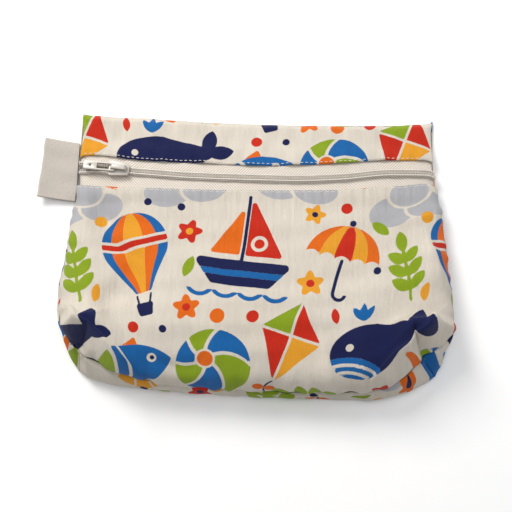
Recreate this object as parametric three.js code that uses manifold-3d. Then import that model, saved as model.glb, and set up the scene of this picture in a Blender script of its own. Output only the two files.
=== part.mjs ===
// A small zipped wet bag for used cloth nappies, lying on its back.
// It is sewn from a front panel, a narrow band above the zip and a back panel, with boxed bottom corners.
// Millimetres: +X to the right and +Y to the top edge as the bag is looked down on, +Z up from the table.
// The origin is on the table, under the middle of the back panel.
import * as THREE from "three";
import { mergeVertices } from "three/addons/utils/BufferGeometryUtils.js";
import Module from "manifold-3d";

const wasm = await Module();
wasm.setup();

// The bag's own sizes. seamGap is the line of air left between two sewn edges.
const halfWidth = 106;
const height = 152;
const depth = 26;
const cloth = 1.2;
const seamGap = 0.3;
const hemRound = 4;

// The zip: what shows of each tape, how far it runs under the cloth, and the two coils.
const zipShow = 8;
const tapeTuck = 4;
const tapeThick = 1;
const tapeParting = 0.8;
const coilWide = 2.1;
const coilHigh = 1.5;
const coilParting = 0.3;
const zipMouth = 3.6;
const runningGap = 0.3;

// The slider, with its nose to the left.
const sliderAt = -73.5;
const sliderLong = 11;
const noseWide = 8.3;
const tailWide = 6.5;
const plateThick = 1.3;
const plateRound = 1.4;
const postWide = 1.5;
const postLong = 2.6;
const postSet = 0.8;
const postRound = 0.4;
const bridgeLong = 8.6;
const bridgeWide = 2.5;
const bridgeThick = 1;

// The pull tab: a flat frame whose end bar turns under the slider's bridge.
const tabLong = 16.8;
const tabWide = 4.7;
const tabThick = 1.2;
const tabRound = 1.2;
const slotLong = 9.5;
const slotRound = 0.4;
const tabHole = 1.6;

// The woven label, folded double and sewn into the left side seam.
const labelDown = 0.19;
const labelHigh = 32.4;
const labelReach = 19.5;
const labelThick = 1;
const labelSlit = 0.4;
const labelCurl = 3;
const labelRise = 2.7;
const labelLean = 0.9;
const labelLift = 0.2;

// The side lines, row by row down the bag. down is a share of height from the top edge.
// Shares of halfWidth: seam is the side seam, base the outline on the table, eave how far in the roll starts.
// Shares of depth: lift is the seam's height, puff the front's at the eave, crown what its middle adds.
// turn is how far the cloths have turned to face each other at the seam, from 0, flat, to 1, edge on.
const SIDES = [
  { down: 0.0, seamL: 0.901, seamR: 0.919, baseL: 0.886, baseR: 0.904, eaveL: 0.07, eaveR: 0.07,
    lift: 0.0, puff: 0.0, crown: 0.0, turn: 0.0 },
  { down: 0.06, seamL: 0.906, seamR: 0.915, baseL: 0.89, baseR: 0.9, eaveL: 0.08, eaveR: 0.08,
    lift: 0.0, puff: 0.05, crown: 0.03, turn: 0.05 },
  { down: 0.15, seamL: 0.912, seamR: 0.916, baseL: 0.896, baseR: 0.901, eaveL: 0.09, eaveR: 0.09,
    lift: 0.015, puff: 0.11, crown: 0.07, turn: 0.2 },
  { down: 0.25, seamL: 0.919, seamR: 0.926, baseL: 0.906, baseR: 0.913, eaveL: 0.1, eaveR: 0.1,
    lift: 0.04, puff: 0.2, crown: 0.1, turn: 0.5 },
  { down: 0.37, seamL: 0.936, seamR: 0.946, baseL: 0.929, baseR: 0.937, eaveL: 0.115, eaveR: 0.12,
    lift: 0.15, puff: 0.35, crown: 0.12, turn: 0.85 },
  { down: 0.48, seamL: 0.951, seamR: 0.957, baseL: 0.951, baseR: 0.957, eaveL: 0.13, eaveR: 0.14,
    lift: 0.25, puff: 0.53, crown: 0.11, turn: 1 },
  { down: 0.58, seamL: 0.965, seamR: 0.963, baseL: 0.97, baseR: 0.968, eaveL: 0.15, eaveR: 0.165,
    lift: 0.34, puff: 0.71, crown: 0.07, turn: 1 },
  { down: 0.68, seamL: 0.973, seamR: 0.975, baseL: 0.984, baseR: 0.98, eaveL: 0.18, eaveR: 0.2,
    lift: 0.42, puff: 0.9, crown: 0.0, turn: 1 },
  { down: 0.75, seamL: 0.961, seamR: 0.976, baseL: 0.965, baseR: 0.975, eaveL: 0.19, eaveR: 0.235,
    lift: 0.47, puff: 1.0, crown: -0.05, turn: 1 },
  { down: 0.8, seamL: 0.913, seamR: 0.94, baseL: 0.945, baseR: 0.95, eaveL: 0.15, eaveR: 0.2,
    lift: 0.5, puff: 1.0, crown: -0.09, turn: 1 },
  { down: 0.86, seamL: 0.85, seamR: 0.82, baseL: 0.915, baseR: 0.925, eaveL: 0.08, eaveR: 0.08,
    lift: 0.52, puff: 1.0, crown: -0.13, turn: 1 },
  { down: 0.93, seamL: 0.83, seamR: 0.8, baseL: 0.87, baseR: 0.895, eaveL: 0.06, eaveR: 0.06,
    lift: 0.52, puff: 1.0, crown: -0.16, turn: 1 },
];
// Where the boxed corners lie, as shares of height from the top edge:
// the peak on the front, the middle of the corner's seam, and the corner on the table.
const CORNERS = {
  L: { peak: 0.722, middle: 0.838, table: 0.902 },
  R: { peak: 0.75, middle: 0.858, table: 0.918 },
};
// The bottom between its corners. across runs from -1 at the left corner to 1 at the right one.
// eave, seam and base are shares of height from the top edge, and rise is the seam's share of depth.
const BOTTOM = [
  { across: -0.88, eave: 0.765, seam: 0.876, base: 0.932, rise: 0.51 },
  { across: -0.7, eave: 0.82, seam: 0.92, base: 0.954, rise: 0.49 },
  { across: -0.45, eave: 0.852, seam: 0.95, base: 0.972, rise: 0.43 },
  { across: -0.1, eave: 0.862, seam: 0.965, base: 0.984, rise: 0.36 },
  { across: 0.3, eave: 0.866, seam: 0.976, base: 0.994, rise: 0.32 },
  { across: 0.6, eave: 0.862, seam: 0.975, base: 0.996, rise: 0.34 },
  { across: 0.8, eave: 0.835, seam: 0.953, base: 0.975, rise: 0.42 },
  { across: 0.92, eave: 0.795, seam: 0.905, base: 0.945, rise: 0.49 },
];
// The zip's line from side to side. middle is a share of height from the top edge,
// and above and below are what shows on each side of it, as shares of zipShow.
const ZIP = [
  { across: -1, middle: 0.176, above: 0.62, below: 1.2 },
  { across: -0.8, middle: 0.181, above: 0.92, below: 1.28 },
  { across: -0.57, middle: 0.197, above: 0.84, below: 1.13 },
  { across: -0.3, middle: 0.208, above: 0.9, below: 1.08 },
  { across: 0, middle: 0.212, above: 0.91, below: 1.08 },
  { across: 0.4, middle: 0.2, above: 0.8, below: 1.25 },
  { across: 0.67, middle: 0.186, above: 0.66, below: 1.24 },
  { across: 0.84, middle: 0.188, above: 0.78, below: 0.98 },
  { across: 1, middle: 0.212, above: 0.86, below: 0.82 },
];
// The top edge, which rises a little to its ends. raise is a share of height.
const TOP = [
  { across: -1, raise: 0.031 },
  { across: -0.6, raise: 0.004 },
  { across: 0, raise: -0.008 },
  { across: 0.6, raise: -0.008 },
  { across: 1, raise: -0.001 },
];
// Creases and dents of the front. at and down place the start of each, as shares of halfWidth and height,
// and turn is its direction in degrees from +X. long and wide are shares of halfWidth and high is a share
// of depth. steep narrows the side of it that faces the top edge. In their order they are the left and right
// corners' pinches, the creases to the sides, the hollows by the pinches, the long fold down the left with
// the dent beside it, the left's slanting dent, the dent by the slider, the sag and the long fold on the
// right, the low wave at the bottom and the gather in the band.
const FOLDS = [
  { at: -0.79, down: 0.735, turn: -42, long: 0.24, wide: 0.07, high: 0.08, steep: 0.7 },
  { at: 0.745, down: 0.762, turn: -133, long: 0.22, wide: 0.07, high: 0.08, steep: 0.7 },
  { at: 0.755, down: 0.756, turn: -3, long: 0.2, wide: 0.05, high: 0.06, steep: 0.7 },
  { at: -0.785, down: 0.72, turn: 158, long: 0.16, wide: 0.06, high: 0.05, steep: 1 },
  { at: -0.7, down: 0.69, turn: -30, long: 0.3, wide: 0.1, high: -0.1, steep: 1 },
  { at: 0.68, down: 0.71, turn: -150, long: 0.28, wide: 0.1, high: -0.1, steep: 1 },
  { at: -0.86, down: 0.36, turn: -84, long: 0.42, wide: 0.06, high: 0.07, steep: 1 },
  { at: -0.76, down: 0.36, turn: -80, long: 0.4, wide: 0.06, high: -0.07, steep: 1 },
  { at: -0.72, down: 0.66, turn: 52, long: 0.34, wide: 0.06, high: -0.08, steep: 1 },
  { at: -0.78, down: 0.36, turn: -20, long: 0.3, wide: 0.07, high: -0.08, steep: 1 },
  { at: 0.9, down: 0.42, turn: -160, long: 0.35, wide: 0.09, high: -0.07, steep: 1 },
  { at: 0.84, down: 0.46, turn: -88, long: 0.32, wide: 0.06, high: 0.06, steep: 1 },
  { at: -0.15, down: 0.84, turn: 4, long: 0.5, wide: 0.1, high: 0.05, steep: 1 },
  { at: -0.52, down: 0.03, turn: -62, long: 0.14, wide: 0.04, high: 0.04, steep: 1 },
];

const { clamp, lerp, inverseLerp, smoothstep, degToRad } = THREE.MathUtils;
const upward = new THREE.Vector3(0, 0, 1);
const vec = (x, y, z) => new THREE.Vector3(x, y, z);
const between = (from, to, share) => from.clone().lerp(to, share);
const moved = (point, direction, distance) => point.clone().addScaledVector(direction, distance);

// A column of a table between its rows: a cubic curve through the rows that never overshoots them.
function column(rows, key, name, at) {
  const x = rows.map((row) => row[key]);
  const y = rows.map((row) => row[name]);
  const secant = x.slice(1).map((next, i) => (y[i + 1] - y[i]) / (next - x[i]));
  const slope = x.map((_, i) => {
    const before = secant[Math.max(i - 1, 0)];
    const after = secant[Math.min(i, secant.length - 1)];
    return before * after > 0 ? (2 * before * after) / (before + after) : 0;
  });
  const place = clamp(at, x[0], x[x.length - 1]);
  const next = clamp(x.findIndex((value) => value >= place), 1, x.length - 1);
  const i = next - 1;
  const span = x[next] - x[i];
  const t = (place - x[i]) / span;
  const level = (1 + 2 * t) * (1 - t) ** 2 * y[i] + t * t * (3 - 2 * t) * y[next];
  return level + t * (1 - t) * span * ((1 - t) * slope[i] - t * slope[next]);
}

const topY = height / 2;
const yAt = (down) => topY - down * height;
const sideLine = (name, y) => column(SIDES, "down", name, (topY - y) / height);
const sideX = (side) => (side === "L" ? -halfWidth : halfWidth);
const sideOf = (a) => (a < 0 ? "L" : "R");

// The zip's lines, where a runs from the left seam to the right one.
const zipMiddle = (a) => yAt(column(ZIP, "across", "middle", a));
const zipAbove = (a) => zipMiddle(a) + zipShow * column(ZIP, "across", "above", a);
const zipBelow = (a) => zipMiddle(a) - zipShow * column(ZIP, "across", "below", a);
const topEdge = (a) => topY + height * column(TOP, "across", "raise", a);

// The side seams open from a plain gap to one that holds the tape, where the zip runs into them.
function seamOpen(side, y) {
  const a = side === "L" ? -1 : 1;
  const spread = 2 * tapeTuck;
  const above = smoothstep(y, zipAbove(a) + tapeTuck, zipAbove(a) + tapeTuck + spread);
  const below = smoothstep(y, zipBelow(a) - tapeTuck - spread, zipBelow(a) - tapeTuck);
  return seamGap + (tapeThick + seamGap) * below * (1 - above);
}

// Points on the side lines at a height y.
function seamSide(side, y) {
  const z = cloth + seamOpen(side, y) / 2 + depth * sideLine("lift", y);
  return vec(sideX(side) * sideLine("seam" + side, y), y, z);
}
const baseSide = (side, y) => vec(sideX(side) * sideLine("base" + side, y), y, 0);
function eaveSide(side, y) {
  const reach = sideLine("seam" + side, y) - sideLine("eave" + side, y);
  return vec(sideX(side) * reach, y, 2 * cloth + seamOpen(side, y) + depth * sideLine("puff", y));
}

// The front's top inside its rolled edges. share runs from -1 at the left eave to 1 at the right one.
function crest(share, y) {
  const point = between(eaveSide("L", y), eaveSide("R", y), (share + 1) / 2);
  return moved(point, upward, depth * sideLine("crown", y) * (1 - share * share));
}

// The lines of the bottom. share runs from the left corner to the right one.
const cornerMiddle = (side) => seamSide(side, yAt(CORNERS[side].middle));
const cornerOnTable = (side) => baseSide(side, yAt(CORNERS[side].table));
function cornerRow(side) {
  const { peak: eave, middle: seam, table: base } = CORNERS[side];
  return { across: side === "L" ? -1 : 1, eave, seam, base, rise: column(SIDES, "down", "lift", seam) };
}
const bottomRows = [cornerRow("L"), ...BOTTOM, cornerRow("R")];
const bottomLine = (name, share) => column(bottomRows, "across", name, share);
function seamBottom(share) {
  const x = lerp(cornerMiddle("L").x, cornerMiddle("R").x, (share + 1) / 2);
  return vec(x, yAt(bottomLine("seam", share)), cloth + seamGap / 2 + depth * bottomLine("rise", share));
}
function baseBottom(share) {
  const x = lerp(cornerOnTable("L").x, cornerOnTable("R").x, (share + 1) / 2);
  return vec(x, yAt(bottomLine("base", share)), 0);
}
const eaveBottom = (share) => crest(share, yAt(bottomLine("eave", share)));

// One crease or dent: highest along its line. These shares of it are where it fades, behind its start and
// towards its end.
const foldTip = 0.3;
const foldBody = 0.75;
function foldHeight(fold, x, y) {
  const angle = degToRad(fold.turn);
  const dx = x - fold.at * halfWidth;
  const dy = y - yAt(fold.down);
  const along = (dx * Math.cos(angle) + dy * Math.sin(angle)) / (fold.long * halfWidth);
  const off = dy * Math.cos(angle) - dx * Math.sin(angle);
  const narrow = off * Math.cos(angle) > 0 ? fold.steep : 1;
  const fade = along < 0 ? Math.exp(-((along / foldTip) ** 2)) : Math.exp(-((along / foldBody) ** 4));
  return fold.high * depth * fade * Math.exp(-((off / (fold.wide * halfWidth * narrow)) ** 2));
}
function folded(point, share) {
  const rise = FOLDS.reduce((sum, fold) => sum + foldHeight(fold, point.x, point.y), 0);
  return moved(point, upward, rise * (1 - share * share));
}

// How the cloths meet at a seam: how far they have turned to face each other, as in SIDES, and the gap.
const sideTurn = (side, y) => ({ turn: sideLine("turn", y), open: seamOpen(side, y) });
const bottomTurn = { turn: 1, open: seamGap };

// The edge of a cloth at a seam, and its outward normal there.
// side is 1 for a cloth that lies above the seam and -1 for one below it.
function seamEdge(seam, out, { turn, open }, side) {
  const angle = (turn * Math.PI) / 2;
  const normal = moved(vec(0, 0, side * Math.cos(angle)), out, Math.sin(angle));
  return { at: moved(seam, upward, (side * open) / 2 + cloth * normal.z), normal };
}
const seamShare = 0.999;
const atSeam = (share) => share > seamShare;
const outward = (from, to) => vec(to.x - from.x, to.y - from.y, 0).normalize();

// The front's curve from the eave to the seam. round is 0 for a flat facet and 1 for a full roll.
function frontRoll(eave, seam, meeting, share, round) {
  const edge = seamEdge(seam, outward(eave, seam), meeting, 1);
  const corner = between(between(eave, edge.at, 0.5), vec(edge.at.x, edge.at.y, eave.z), round);
  const point = folded(new THREE.QuadraticBezierCurve3(eave, corner, edge.at).getPoint(share), share);
  return { at: point, normal: atSeam(share) ? edge.normal : undefined };
}

// The back's curve from its flat face on the table, round the hem and up to the seam.
function backWall(base, seam, out, meeting, share) {
  const edge = seamEdge(seam, out, meeting, -1);
  const overhang = vec(base.x - seam.x, base.y - seam.y, 0).dot(out);
  const low = moved(base, out, (hemRound + overhang) / 6);
  const foot = moved(base, out, -hemRound);
  const wall = new THREE.CubicBezierCurve3(foot, low, moved(low, upward, edge.at.z / 2), edge.at);
  return { at: wall.getPoint(share), normal: atSeam(share) ? edge.normal : undefined };
}

// Shares of a panel's grid that lie on its rolled edge and on its flat top, and how round the edges are.
// The roundness drops towards a corner, and quickly so only near it.
const rim = 0.2;
const flat = 1 - rim;
const sideRound = 0.85;
const bottomRound = 0.8;
const cornerRound = 0.12;
const cornerHaste = 6;
const toCorner = (share) => Math.abs(share) ** cornerHaste;

// A point of the front at the height y, where a runs from seam to seam.
function frontRow(a, y) {
  if (Math.abs(a) <= flat) {
    return { at: folded(crest(a / flat, y), 0) };
  }
  const side = sideOf(a);
  const share = (Math.abs(a) - flat) / rim;
  return frontRoll(eaveSide(side, y), seamSide(side, y), sideTurn(side, y), share, sideRound);
}

// A point of the front panel: a runs from seam to seam and b from the zip to the bottom seam.
function frontPoint(a, b) {
  const sideShare = (Math.abs(a) - flat) / rim;
  const bottomShare = (b - flat) / rim;
  const share = Math.max(sideShare, bottomShare, 0);
  const start = zipBelow(a);
  if (share === 0) {
    return { at: folded(crest(a / flat, lerp(start, yAt(bottomLine("eave", a / flat)), b / flat)), 0) };
  }
  if (sideShare >= bottomShare) {
    const side = sideOf(a);
    const t = b / (flat + rim * share);
    const eaveY = lerp(start, yAt(CORNERS[side].peak), t);
    const seamY = lerp(start, yAt(CORNERS[side].middle), t);
    const round = lerp(sideRound, cornerRound, toCorner(t));
    const seam = seamSide(side, lerp(eaveY, seamY, t));
    return frontRoll(eaveSide(side, eaveY), seam, sideTurn(side, seam.y), share, round);
  }
  const across = a / (flat + rim * share);
  const round = lerp(bottomRound, cornerRound, toCorner(across));
  return frontRoll(eaveBottom(across), seamBottom(across), bottomTurn, share, round);
}

// A point of the band above the zip: b runs from the zip to the top edge.
const bandPoint = (a, b) => frontRow(a, lerp(zipAbove(a), topEdge(a), b));

// A point of the back panel: b runs from the top edge to the bottom seam.
function backPoint(a, b) {
  const sideShare = (Math.abs(a) - flat) / rim;
  const bottomShare = (b - flat) / rim;
  const share = Math.max(sideShare, bottomShare, 0);
  const wallSide = (side, t, rise) => {
    const start = topEdge(side === "L" ? -1 : 1);
    const eaveY = lerp(start, yAt(CORNERS[side].peak), t);
    const seamY = lerp(start, yAt(CORNERS[side].middle), t);
    const seam = seamSide(side, lerp(eaveY, seamY, t));
    const base = baseSide(side, lerp(start, yAt(CORNERS[side].table), t));
    const out = outward(eaveSide(side, eaveY), seam);
    return backWall(base, seam, out, sideTurn(side, seam.y), rise);
  };
  const wallBottom = (across, rise) => {
    const out = outward(eaveBottom(across), seamBottom(across));
    return backWall(baseBottom(across), seamBottom(across), out, bottomTurn, rise);
  };
  if (share === 0) {
    const t = b / flat;
    const x = lerp(wallSide("L", t, 0).at.x, wallSide("R", t, 0).at.x, (a / flat + 1) / 2);
    return { at: vec(x, lerp(topEdge(a / flat), wallBottom(a / flat, 0).at.y, t), 0) };
  }
  return sideShare >= bottomShare
    ? wallSide(sideOf(a), b / (flat + rim * share), share)
    : wallBottom(a / (flat + rim * share), share);
}

// Evenly spaced values from one end to the other, both ends included, and such runs joined end to end.
const steps = (from, to, count) => Array.from({ length: count + 1 }, (_, i) => lerp(from, to, i / count));
const joined = (...parts) => parts.reduce((all, part) => all.concat(part.slice(1)));

// A closed wall on a grid. surface(a, b) gives its face, and facing is 1 where a turns to b anticlockwise as
// the face is looked at. The wall starts that far under the face, and is thick from there on.
function sheet(surface, across, along, facing, thick, under = 0) {
  const face = along.map((b) => across.map((a) => surface(a, b)));
  const at = (j, i) => face[clamp(j, 0, along.length - 1)][clamp(i, 0, across.length - 1)].at;
  const normal = (j, i) => {
    const alongA = at(j, i + 1).clone().sub(at(j, i - 1));
    const alongB = at(j + 1, i).clone().sub(at(j - 1, i));
    return face[j][i].normal ?? alongA.cross(alongB).normalize().multiplyScalar(facing);
  };
  const layerAt = (behind) =>
    along.flatMap((_, j) => across.flatMap((_, i) => moved(at(j, i), normal(j, i), -behind).toArray()));
  const columns = across.length;
  const layer = columns * along.length;
  const faces = [];
  const quad = (p, q, r, s, turned) => {
    const pair = turned ? [p, q, s, q, r, s] : [p, q, r, p, r, s];
    faces.push(...(facing > 0 ? pair : pair.reverse()));
  };
  for (let j = 0; j + 1 < along.length; j += 1) {
    for (let i = 0; i + 1 < columns; i += 1) {
      const p = j * columns + i;
      const turned = across[i] + across[i + 1] < 0;
      quad(p, p + 1, p + 1 + columns, p + columns, turned);
      quad(layer + p + 1, layer + p, layer + p + columns, layer + p + 1 + columns, !turned);
    }
    const west = j * columns;
    const east = west + columns - 1;
    quad(west, west + columns, layer + west + columns, layer + west);
    quad(east + columns, east, layer + east, layer + east + columns);
  }
  for (let i = 0; i + 1 < columns; i += 1) {
    const far = layer - columns + i;
    quad(i + 1, i, layer + i, layer + i + 1);
    quad(far, far + 1, layer + far + 1, layer + far);
  }
  const geometry = new THREE.BufferGeometry();
  const points = [...layerAt(under), ...layerAt(under + thick)];
  geometry.setAttribute("position", new THREE.Float32BufferAttribute(points, 3));
  geometry.setIndex(faces);
  return geometry;
}

const rimSteps = steps(0, 1, 6);
const leftRim = rimSteps.map((t) => -1 + rim * t);
const rightRim = rimSteps.map((t) => flat + rim * t);
const FINE = joined(leftRim, steps(-flat, flat, 26), rightRim);
const COARSE = joined(leftRim, steps(-flat, flat, 12), rightRim);
const frontPanel = () => sheet(frontPoint, FINE, joined(steps(0, flat, 18), rightRim), -1, cloth);
const topBand = () => sheet(bandPoint, FINE, steps(0, 1, 6), 1, cloth);
const backPanel = () => sheet(backPoint, COARSE, joined(steps(0, flat, 12), rightRim), 1, cloth);

// The slider's place on the zip. nose and tail are shares of the way from seam to seam.
const zipShare = (x) => flat * (2 * inverseLerp(crest(-1, zipMiddle(0)).x, crest(1, zipMiddle(0)).x, x) - 1);
const sliderNose = sliderAt - sliderLong / 2;
const sliderTail = sliderAt + sliderLong / 2;
const closing = sliderNose + postSet + postLong + runningGap;
const postRoom = postWide + 2 * runningGap;

// How far apart the coils are at x: together to the right, apart round the slider's post and on to the seam.
function parting(x) {
  const open = clamp(inverseLerp(sliderTail, closing, x), 0, 1);
  const mouth = smoothstep(-x, -sliderNose, halfWidth);
  return lerp(coilParting, lerp(postRoom, zipMouth, mouth), open);
}
// A strip beside the zip's middle line, above it for side 1 and below it for -1. near and far are its edges.
const strip = (side, near, far) => (a, b) => {
  const half = parting(frontRow(a, zipMiddle(a)).at.x) / 2;
  return frontRow(a, zipMiddle(a) + side * lerp(near(a, half), far(a, half), b));
};
// The tapes and coils stop this share of the way out to the side seams.
const zipEnd = 0.985;
const zipSteps = joined(
  steps(-zipEnd, -flat, 3),
  steps(-flat, zipShare(closing), 3),
  steps(zipShare(closing), zipShare(sliderTail), 4),
  steps(zipShare(sliderTail), flat, 22),
  steps(flat, zipEnd, 3),
);

function zipTape(side) {
  const near = (a, half) => half + (tapeParting - coilParting) / 2;
  const far = (a) => (side > 0 ? zipAbove(a) - zipMiddle(a) : zipMiddle(a) - zipBelow(a)) + tapeTuck;
  return sheet(strip(side, near, far), zipSteps, steps(0, 1, 3), side, tapeThick, cloth + seamGap);
}
function zipCoil(side) {
  const surface = strip(side, (a, half) => half, (a, half) => half + coilWide);
  return sheet(surface, zipSteps, steps(0, 1, 2), side, coilHigh, cloth - coilHigh);
}

// Solids that are joined and cut: a three.js geometry as a solid, and a solid as a geometry.
function solid(geometry) {
  geometry.deleteAttribute("normal");
  geometry.deleteAttribute("uv");
  const merged = mergeVertices(geometry, 1e-4);
  const vertProperties = merged.attributes.position.array;
  const triVerts = new Uint32Array(merged.index.array);
  return new wasm.Manifold(new wasm.Mesh({ numProp: 3, vertProperties, triVerts }));
}
function geometryOf(shape) {
  const { vertProperties, triVerts } = shape.getMesh();
  const geometry = new THREE.BufferGeometry();
  geometry.setAttribute("position", new THREE.Float32BufferAttribute(vertProperties, 3));
  geometry.setIndex(new THREE.Uint32BufferAttribute(triVerts, 1));
  return geometry;
}
// An outline that narrows along x, with round corners. from and to are its ends, and each has its own width.
function taper(from, to, wideFrom, wideTo, round) {
  const shape = new THREE.Shape();
  const ends = [
    [from, -wideFrom / 2, 1, 1],
    [to, -wideTo / 2, -1, 1],
    [to, wideTo / 2, -1, -1],
    [from, wideFrom / 2, 1, -1],
  ];
  ends.forEach(([x, y, inX, inY], i) => {
    const alongX = [x + inX * round, y];
    const alongY = [x, y + inY * round];
    const [enter, leave] = i % 2 ? [alongX, alongY] : [alongY, alongX];
    if (i) {
      shape.lineTo(...enter);
    } else {
      shape.moveTo(...enter);
    }
    shape.quadraticCurveTo(x, y, ...leave);
  });
  return shape.closePath();
}
const extruded = (shape, thick) =>
  new THREE.ExtrudeGeometry(shape, { depth: thick, bevelEnabled: false, curveSegments: 5 });
// A shape drawn in x and y, between two heights, and one drawn in x and z, centred on y.
const slab = (shape, low, high) => extruded(shape, high - low).translate(0, 0, low);
const crosswise = (shape, wide) => extruded(shape, wide).translate(0, 0, -wide / 2).rotateX(Math.PI / 2);
const outlineOf = (points) => new THREE.Shape(points.map(([x, y]) => new THREE.Vector2(x, y)));

// Levels on the slider, from the front's face where it stands: plates outside the coils and the tapes.
const tapeTop = -cloth - seamGap;
const plateLow = coilHigh - cloth + runningGap;
const plateTop = plateLow + plateThick;
const underLow = tapeTop - tapeThick - runningGap - plateThick;
const pinHigh = plateTop + runningGap + tabThick / 2;
const bridgeUnder = pinHigh + tabThick / 2 + runningGap;
const pinAt = -bridgeLong / 2 + bridgeThick + runningGap + tabThick / 2;

function sliderBody() {
  const half = sliderLong / 2;
  const outline = taper(-half, half, noseWide, tailWide, plateRound);
  const coilsWide = 2 * (coilWide + runningGap);
  const widths = [
    [-sliderLong, postRoom],
    [closing - sliderAt, postRoom],
    [half, coilParting],
    [sliderLong, coilParting],
  ];
  const edge = (side) => widths.map(([x, apart]) => [x, (side * (apart + coilsWide)) / 2]);
  const channel = outlineOf([...edge(-1), ...edge(1).reverse()]);
  const flanges = solid(slab(outline, tapeTop + runningGap, plateTop));
  const postShape = taper(postSet - half, postSet + postLong - half, postWide, postWide, postRound);
  const legs = bridgeLong / 2;
  const inside = legs - bridgeThick;
  const arch = outlineOf([
    [-legs, plateLow],
    [-legs, bridgeUnder],
    [-inside, bridgeUnder + bridgeThick],
    [inside, bridgeUnder + bridgeThick],
    [legs, bridgeUnder],
    [legs, plateLow],
  ]);
  const window = outlineOf([
    [-inside, plateTop],
    [-inside, bridgeUnder],
    [inside, bridgeUnder],
    [inside, plateTop],
  ]);
  const bridge = solid(crosswise(arch, bridgeWide)).subtract(solid(crosswise(window, 2 * bridgeWide)));
  const body = flanges
    .subtract(solid(slab(channel, tapeTop, plateLow)))
    .add(solid(slab(postShape, underLow, plateTop)))
    .add(solid(slab(outline, underLow, underLow + plateThick)))
    .add(bridge);
  return geometryOf(body);
}

// The tab lies along -x, with its end bar on its own origin.
function pullTab() {
  const pin = tabThick / 2;
  const outline = taper(-tabLong, pin, tabWide, tabWide, tabRound);
  const slotWide = bridgeWide + 2 * runningGap;
  outline.holes.push(taper(-slotLong, -pin, slotWide, slotWide, slotRound));
  const hole = new THREE.Path();
  hole.absarc((-tabLong - slotLong) / 2, 0, tabHole / 2, 0, 2 * Math.PI, true);
  outline.holes.push(hole);
  const edge = new THREE.Shape();
  edge.moveTo(-2 * tabLong, -pin);
  edge.lineTo(0, -pin);
  edge.absarc(0, 0, pin, -Math.PI / 2, Math.PI / 2, false);
  edge.lineTo(-2 * tabLong, pin);
  return geometryOf(solid(slab(outline, -pin, pin)).intersect(solid(crosswise(edge, 2 * tabWide))));
}

// The label runs out from the seam, round its fold and back under itself. s runs from -1 to 1 along that
// path, and its middle half goes round the fold.
function label() {
  const foldRadius = labelThick + labelSlit / 2;
  const straight = labelReach - foldRadius;
  const surface = (b, s) => {
    const y = yAt(labelDown) + (b * labelHigh) / 2;
    const angle = clamp(2 * s, -1, 1) * (Math.PI / 2);
    const run = straight * (1 - Math.max(2 * Math.abs(s) - 1, 0));
    const out = run + foldRadius * Math.cos(angle);
    const far = out / labelReach;
    const z = labelLift + foldRadius * (1 - Math.sin(angle)) + labelCurl * far * far;
    const x = seamSide("L", y).x - seamGap - out + b * labelLean * far;
    return { at: vec(x, y + labelRise * far, z) };
  };
  const path = joined(steps(-1, -0.5, 4), steps(-0.5, 0.5, 6), steps(0.5, 1, 4));
  return sheet(surface, steps(-1, 1, 4), path, 1, labelThick);
}

// The group that is the model.
const bag = new THREE.Group();
function add(parent, name, geometry, colour, roughness, metalness) {
  const material = new THREE.MeshStandardMaterial({ color: colour, roughness, metalness });
  const mesh = new THREE.Mesh(geometry, material);
  mesh.name = name;
  parent.add(mesh);
  return mesh;
}
add(bag, "front_panel", frontPanel(), 0xe9e1db, 0.85, 0);
add(bag, "top_band", topBand(), 0xe9e1db, 0.85, 0);
add(bag, "back_panel", backPanel(), 0xe9e1db, 0.85, 0);
add(bag, "zip_tape_upper", zipTape(1), 0xe4dfd6, 0.8, 0);
add(bag, "zip_tape_lower", zipTape(-1), 0xe4dfd6, 0.8, 0);
add(bag, "zip_coil_upper", zipCoil(1), 0xf0ece4, 0.45, 0);
add(bag, "zip_coil_lower", zipCoil(-1), 0xf0ece4, 0.45, 0);
add(bag, "label_loop", label(), 0xede8df, 0.75, 0);

// The slider stands square on the zip: its x runs along the zip and its z out of the front.
const onZip = (x, off = 0) => frontRow(zipShare(x), zipMiddle(zipShare(x)) + off).at;
const forward = onZip(sliderTail).sub(onZip(sliderNose)).normalize();
const acrossZip = onZip(sliderAt, coilWide).sub(onZip(sliderAt, -coilWide));
const outOf = forward.clone().cross(acrossZip).normalize();
const carriage = new THREE.Group();
carriage.position.copy(onZip(sliderAt));
const basis = new THREE.Matrix4().makeBasis(forward, outOf.clone().cross(forward), outOf);
carriage.quaternion.setFromRotationMatrix(basis);
bag.add(carriage);
add(carriage, "slider_body", sliderBody(), 0xe8e4dc, 0.35, 0.1);
add(carriage, "pull_tab", pullTab(), 0xe8e4dc, 0.35, 0.1).position.set(pinAt, 0, pinHigh);

export default bag;
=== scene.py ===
# %% [markdown]
# # A small zipped wet bag of printed cloth
# The real thing is a pouch for used cloth nappies: a printed front, a narrow band above a coil zip and a
# printed back, sewn inside out so that only closed seams show, with boxed bottom corners that stand up in
# two peaks. It lies on its back. The plain solids come in as a fixed frame. Every soft one is covered here
# by cloth whose shape is the same set of formulas on a much finer grid, with its wrinkles and stitches.

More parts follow.
